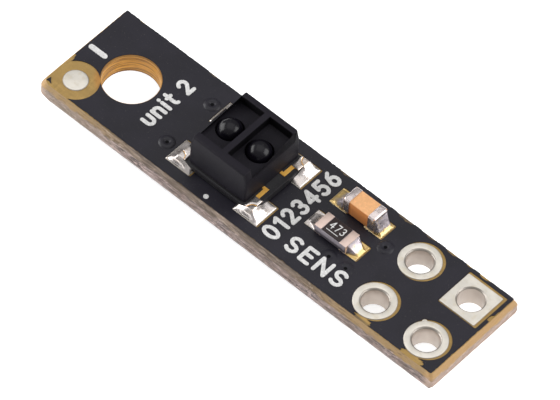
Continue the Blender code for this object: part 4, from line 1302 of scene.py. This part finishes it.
# Each sign's width and its lines of points, on a field one unit high.
LETTERS = {
    "0": (0.62, [bow(0.31, 0.5, 0.31, 0.5, 0, 360, 16)]),
    "1": (0.36, [[(0.02, 0.80), (0.30, 1.0), (0.30, 0.0)]]),
    "2": (0.60, [bow(0.30, 0.71, 0.28, 0.29, 165, -35, 9) + [(0.02, 0.0), (0.60, 0.0)]]),
    "3": (0.58, [bow(0.27, 0.75, 0.27, 0.25, 150, -90, 8), bow(0.27, 0.26, 0.30, 0.26, 90, -150, 9)]),
    "4": (0.66, [[(0.48, 0.0), (0.48, 1.0), (0.0, 0.30), (0.66, 0.30)]]),
    "5": (0.60, [[(0.56, 1.0), (0.10, 1.0), (0.06, 0.54)] + bow(0.27, 0.32, 0.31, 0.32, 120, -145, 9)]),
    "6": (0.60, [bow(0.30, 0.31, 0.29, 0.31, 0, 360, 14), [(0.03, 0.40), (0.14, 0.78), (0.42, 1.0)]]),
    "7": (0.58, [[(0.0, 1.0), (0.58, 1.0), (0.20, 0.0)]]),
    " ": (0.04, []),
    "u": (0.52, [[(0.0, 0.72), (0.0, 0.26)] + bow(0.26, 0.26, 0.26, 0.26, 180, 360, 8) + [(0.52, 0.72)]]),
    "n": (0.52, [[(0.0, 0.0), (0.0, 0.72)],
                 [(0.0, 0.46)] + bow(0.26, 0.46, 0.26, 0.26, 180, 0, 8) + [(0.52, 0.0)]]),
    "i": (0.08, [[(0.04, 0.0), (0.04, 0.70)], [(0.04, 0.98), (0.04, 1.0)]]),
    "t": (0.40, [[(0.16, 1.0), (0.16, 0.22)] + bow(0.34, 0.20, 0.18, 0.20, 180, 270, 4),
                 [(0.0, 0.70), (0.38, 0.70)]]),
    "S": (0.60, [bow(0.31, 0.745, 0.28, 0.255, 35, 270, 9) + bow(0.30, 0.25, 0.29, 0.25, 80, -150, 9)]),
    "E": (0.54, [[(0.54, 1.0), (0.0, 1.0), (0.0, 0.0), (0.54, 0.0)], [(0.0, 0.52), (0.46, 0.52)]]),
    "N": (0.64, [[(0.0, 0.0), (0.0, 1.0), (0.64, 0.0), (0.64, 1.0)]]),
}
LETTER_GAP = 0.40


def strokes(lines, width, seat, thickness):
    """Flat round-ended strokes along lines of points, joined into one print."""
    capsules = []
    for line in lines:
        for start, end in zip(line, line[1:]):
            ends = [cylinder(width / 2, point, seat, seat + thickness, 12) for point in (start, end)]
            capsule = merged(*ends)
            hull = bmesh.ops.convex_hull(capsule, input=capsule.verts[:])
            spare = [item for item in hull["geom_interior"] + hull["geom_unused"]
                     if isinstance(item, bmesh.types.BMVert)]
            bmesh.ops.delete(capsule, geom=list(set(spare)), context="VERTS")
            bmesh.ops.dissolve_limit(capsule, angle_limit=0.01, verts=capsule.verts, edges=capsule.edges)
            capsules.append(capsule)
    if len(capsules) == 1:
        return capsules[0]
    return combine(capsules[0], merged(*capsules[1:]), "UNION", crossing=True)


def lettering(text, start, along, up, length, height, width, seat, thickness):
    """A line of plain round-ended letters that fills a length."""
    gaps = LETTER_GAP * (len(text) - 1)
    natural = sum(LETTERS[letter][0] for letter in text) + gaps
    scale = (length - width) / natural
    tall = height - width
    along, up = Vector(along), Vector(up)
    origin = Vector(start) + along * width / 2 + up * width / 2
    lines, cursor = [], 0.0
    for letter in text:
        advance, outline = LETTERS[letter]
        for line in outline:
            lines.append([origin + along * ((cursor + x) * scale) + up * (y * tall) for x, y in line])
        cursor += advance + LETTER_GAP
    return strokes(lines, width, seat, thickness)


class SENSORBOARD_OT_legend(bpy.types.Operator):
    """Prints the plain legend on the sensor face"""

    bl_idname = "sensor_board.legend"
    bl_label = "Legend"

    def execute(self, context):
        sizes = context.scene.sensor_board_sizes
        width, thick = sizes.legend_stroke, sizes.ink_thickness
        seat = MASK_TOP + 0.0005 * MM
        sideways, outward = (0, 1), (-1, 0)
        texts = (("unit", "unit 2", (-5.32, -1.20), sideways, outward, 2.60, 0.76),
                 ("batch", "0123456", (1.63, -1.92), sideways, outward, 3.95, 0.80),
                 ("caption", "SENS", (1.95, -1.90), (1, 0), (0, 1), 2.83, 0.80))
        for name, text, start, along, up, length, height in texts:
            shape = lettering(text, Vector(start) * MM, along, up, length * MM, height * MM, width, seat,
                              thick)
            piece(f"legend_{name}", shape, "ink")
        marks = (("bar", (-9.58, 0.10), (-8.90, 0.10), 0.23), ("tick", (-3.75, -0.03), (-3.75, 0.20), 0.08),
                 ("dot", (-1.645, -2.13), (-1.635, -2.13), 0.21))
        for name, start, end, stroke in marks:
            line = [Vector(start) * MM, Vector(end) * MM]
            piece(f"legend_{name}", strokes([line], stroke * MM, seat, thick), "ink")
        return {"FINISHED"}


# ---------------------------------------------------------------- studio

def softbox(name, place, target, width, depth, power):
    """A rectangular lamp that points at its target."""
    light = bpy.data.lights.new(name, "AREA")
    light.shape = "RECTANGLE"
    light.size, light.size_y, light.energy = width, depth, power
    lamp = bpy.data.objects.new(name, light)
    lamp.location = place
    lamp.rotation_euler = (Vector(target) - Vector(place)).to_track_quat("-Z", "Y").to_euler()
    bpy.context.scene.collection.objects.link(lamp)
    return lamp


class SENSORBOARD_OT_studio(bpy.types.Operator):
    """Sets up the plain floor, soft light and camera"""

    bl_idname = "sensor_board.studio"
    bl_label = "Studio"

    def execute(self, context):
        scene = context.scene
        studio = scene.sensor_board_studio
        shape = bmesh.new()
        bmesh.ops.create_grid(shape, x_segments=8, y_segments=8, size=2.0)
        floor = settled("studio_floor", shape)
        floor.data.materials.append(finish_of("floor"))
        floor.location.z = -0.0002 * MM

        world = bpy.data.worlds.new("studio_room")
        world.use_nodes = True
        room = world.node_tree
        view = room.nodes.new("ShaderNodeTexCoord").outputs["Generated"]
        height = room.nodes.new("ShaderNodeSeparateXYZ")
        ramp = room.nodes.new("ShaderNodeMapRange")
        for label, value in (("From Min", 0.05), ("From Max", 0.75), ("To Min", 0.40), ("To Max", 1.15)):
            ramp.inputs[label].default_value = value
        room.links.new(view, height.inputs[0])
        room.links.new(height.outputs["Z"], ramp.inputs["Value"])
        room.links.new(ramp.outputs[0], room.nodes["Background"].inputs["Color"])
        room.nodes["Background"].inputs["Strength"].default_value = studio.sky
        scene.world = world
        softbox("key_softbox", (-0.23, -0.10, 0.10), (0, 0, 0.002), 0.26, 0.18, studio.key)
        softbox("fill_softbox", (0.20, 0.12, 0.14), (0, 0, 0.002), 0.22, 0.18, studio.fill)
        softbox("top_softbox", (-0.02, 0.04, 0.36), (0, 0, 0), 0.40, 0.40, studio.top)

        lens = bpy.data.cameras.new("studio_camera")
        lens.sensor_width = 36.0
        lens.lens = studio.lens / MM
        lens.clip_start, lens.clip_end = 0.01, 10.0
        camera = bpy.data.objects.new("studio_camera", lens)
        camera.location = studio.place
        turn = Vector(studio.aim).to_track_quat("-Z", "Y") @ Quaternion((0, 0, 1), studio.roll)
        camera.rotation_euler = turn.to_euler()
        scene.collection.objects.link(camera)
        scene.camera = camera
        scene.view_settings.view_transform = "Standard"
        return {"FINISHED"}


class SENSORBOARD_PT_panel(bpy.types.Panel):
    """Lists the pieces of the sensor board"""

    bl_idname = "SENSORBOARD_PT_panel"
    bl_label = "Sensor Board"
    bl_space_type = "VIEW_3D"
    bl_region_type = "UI"
    bl_category = "Sensor Board"

    def draw(self, context):
        for group in ("sensor_board_sizes", "sensor_board_colours", "sensor_board_studio"):
            settings = getattr(context.scene, group)
            column = self.layout.column(align=True)
            for key in settings.__annotations__:
                column.prop(settings, key)
        for operator in OPERATORS:
            self.layout.operator(operator.bl_idname)


OPERATORS = (SENSORBOARD_OT_laminate, SENSORBOARD_OT_mask, SENSORBOARD_OT_eyelets, SENSORBOARD_OT_lands,
             SENSORBOARD_OT_module_base, SENSORBOARD_OT_shroud, SENSORBOARD_OT_domes,
             SENSORBOARD_OT_capacitor, SENSORBOARD_OT_resistor, SENSORBOARD_OT_underside,
             SENSORBOARD_OT_legend, SENSORBOARD_OT_studio)
GROUPS = (SensorBoardSizes, SensorBoardColours, SensorBoardStudio)


def register():
    for item in (*GROUPS, *OPERATORS, SENSORBOARD_PT_panel):
        bpy.utils.register_class(item)
    bpy.types.Scene.sensor_board_sizes = PointerProperty(type=SensorBoardSizes)
    bpy.types.Scene.sensor_board_colours = PointerProperty(type=SensorBoardColours)
    bpy.types.Scene.sensor_board_studio = PointerProperty(type=SensorBoardStudio)


def unregister():
    del bpy.types.Scene.sensor_board_studio
    del bpy.types.Scene.sensor_board_colours
    del bpy.types.Scene.sensor_board_sizes
    for item in reversed((*GROUPS, *OPERATORS, SENSORBOARD_PT_panel)):
        bpy.utils.unregister_class(item)


def main():
    register()
    for operator in OPERATORS:
        group, name = operator.bl_idname.split(".")
        getattr(getattr(bpy.ops, group), name)()


if __name__ == "__main__":
    main()
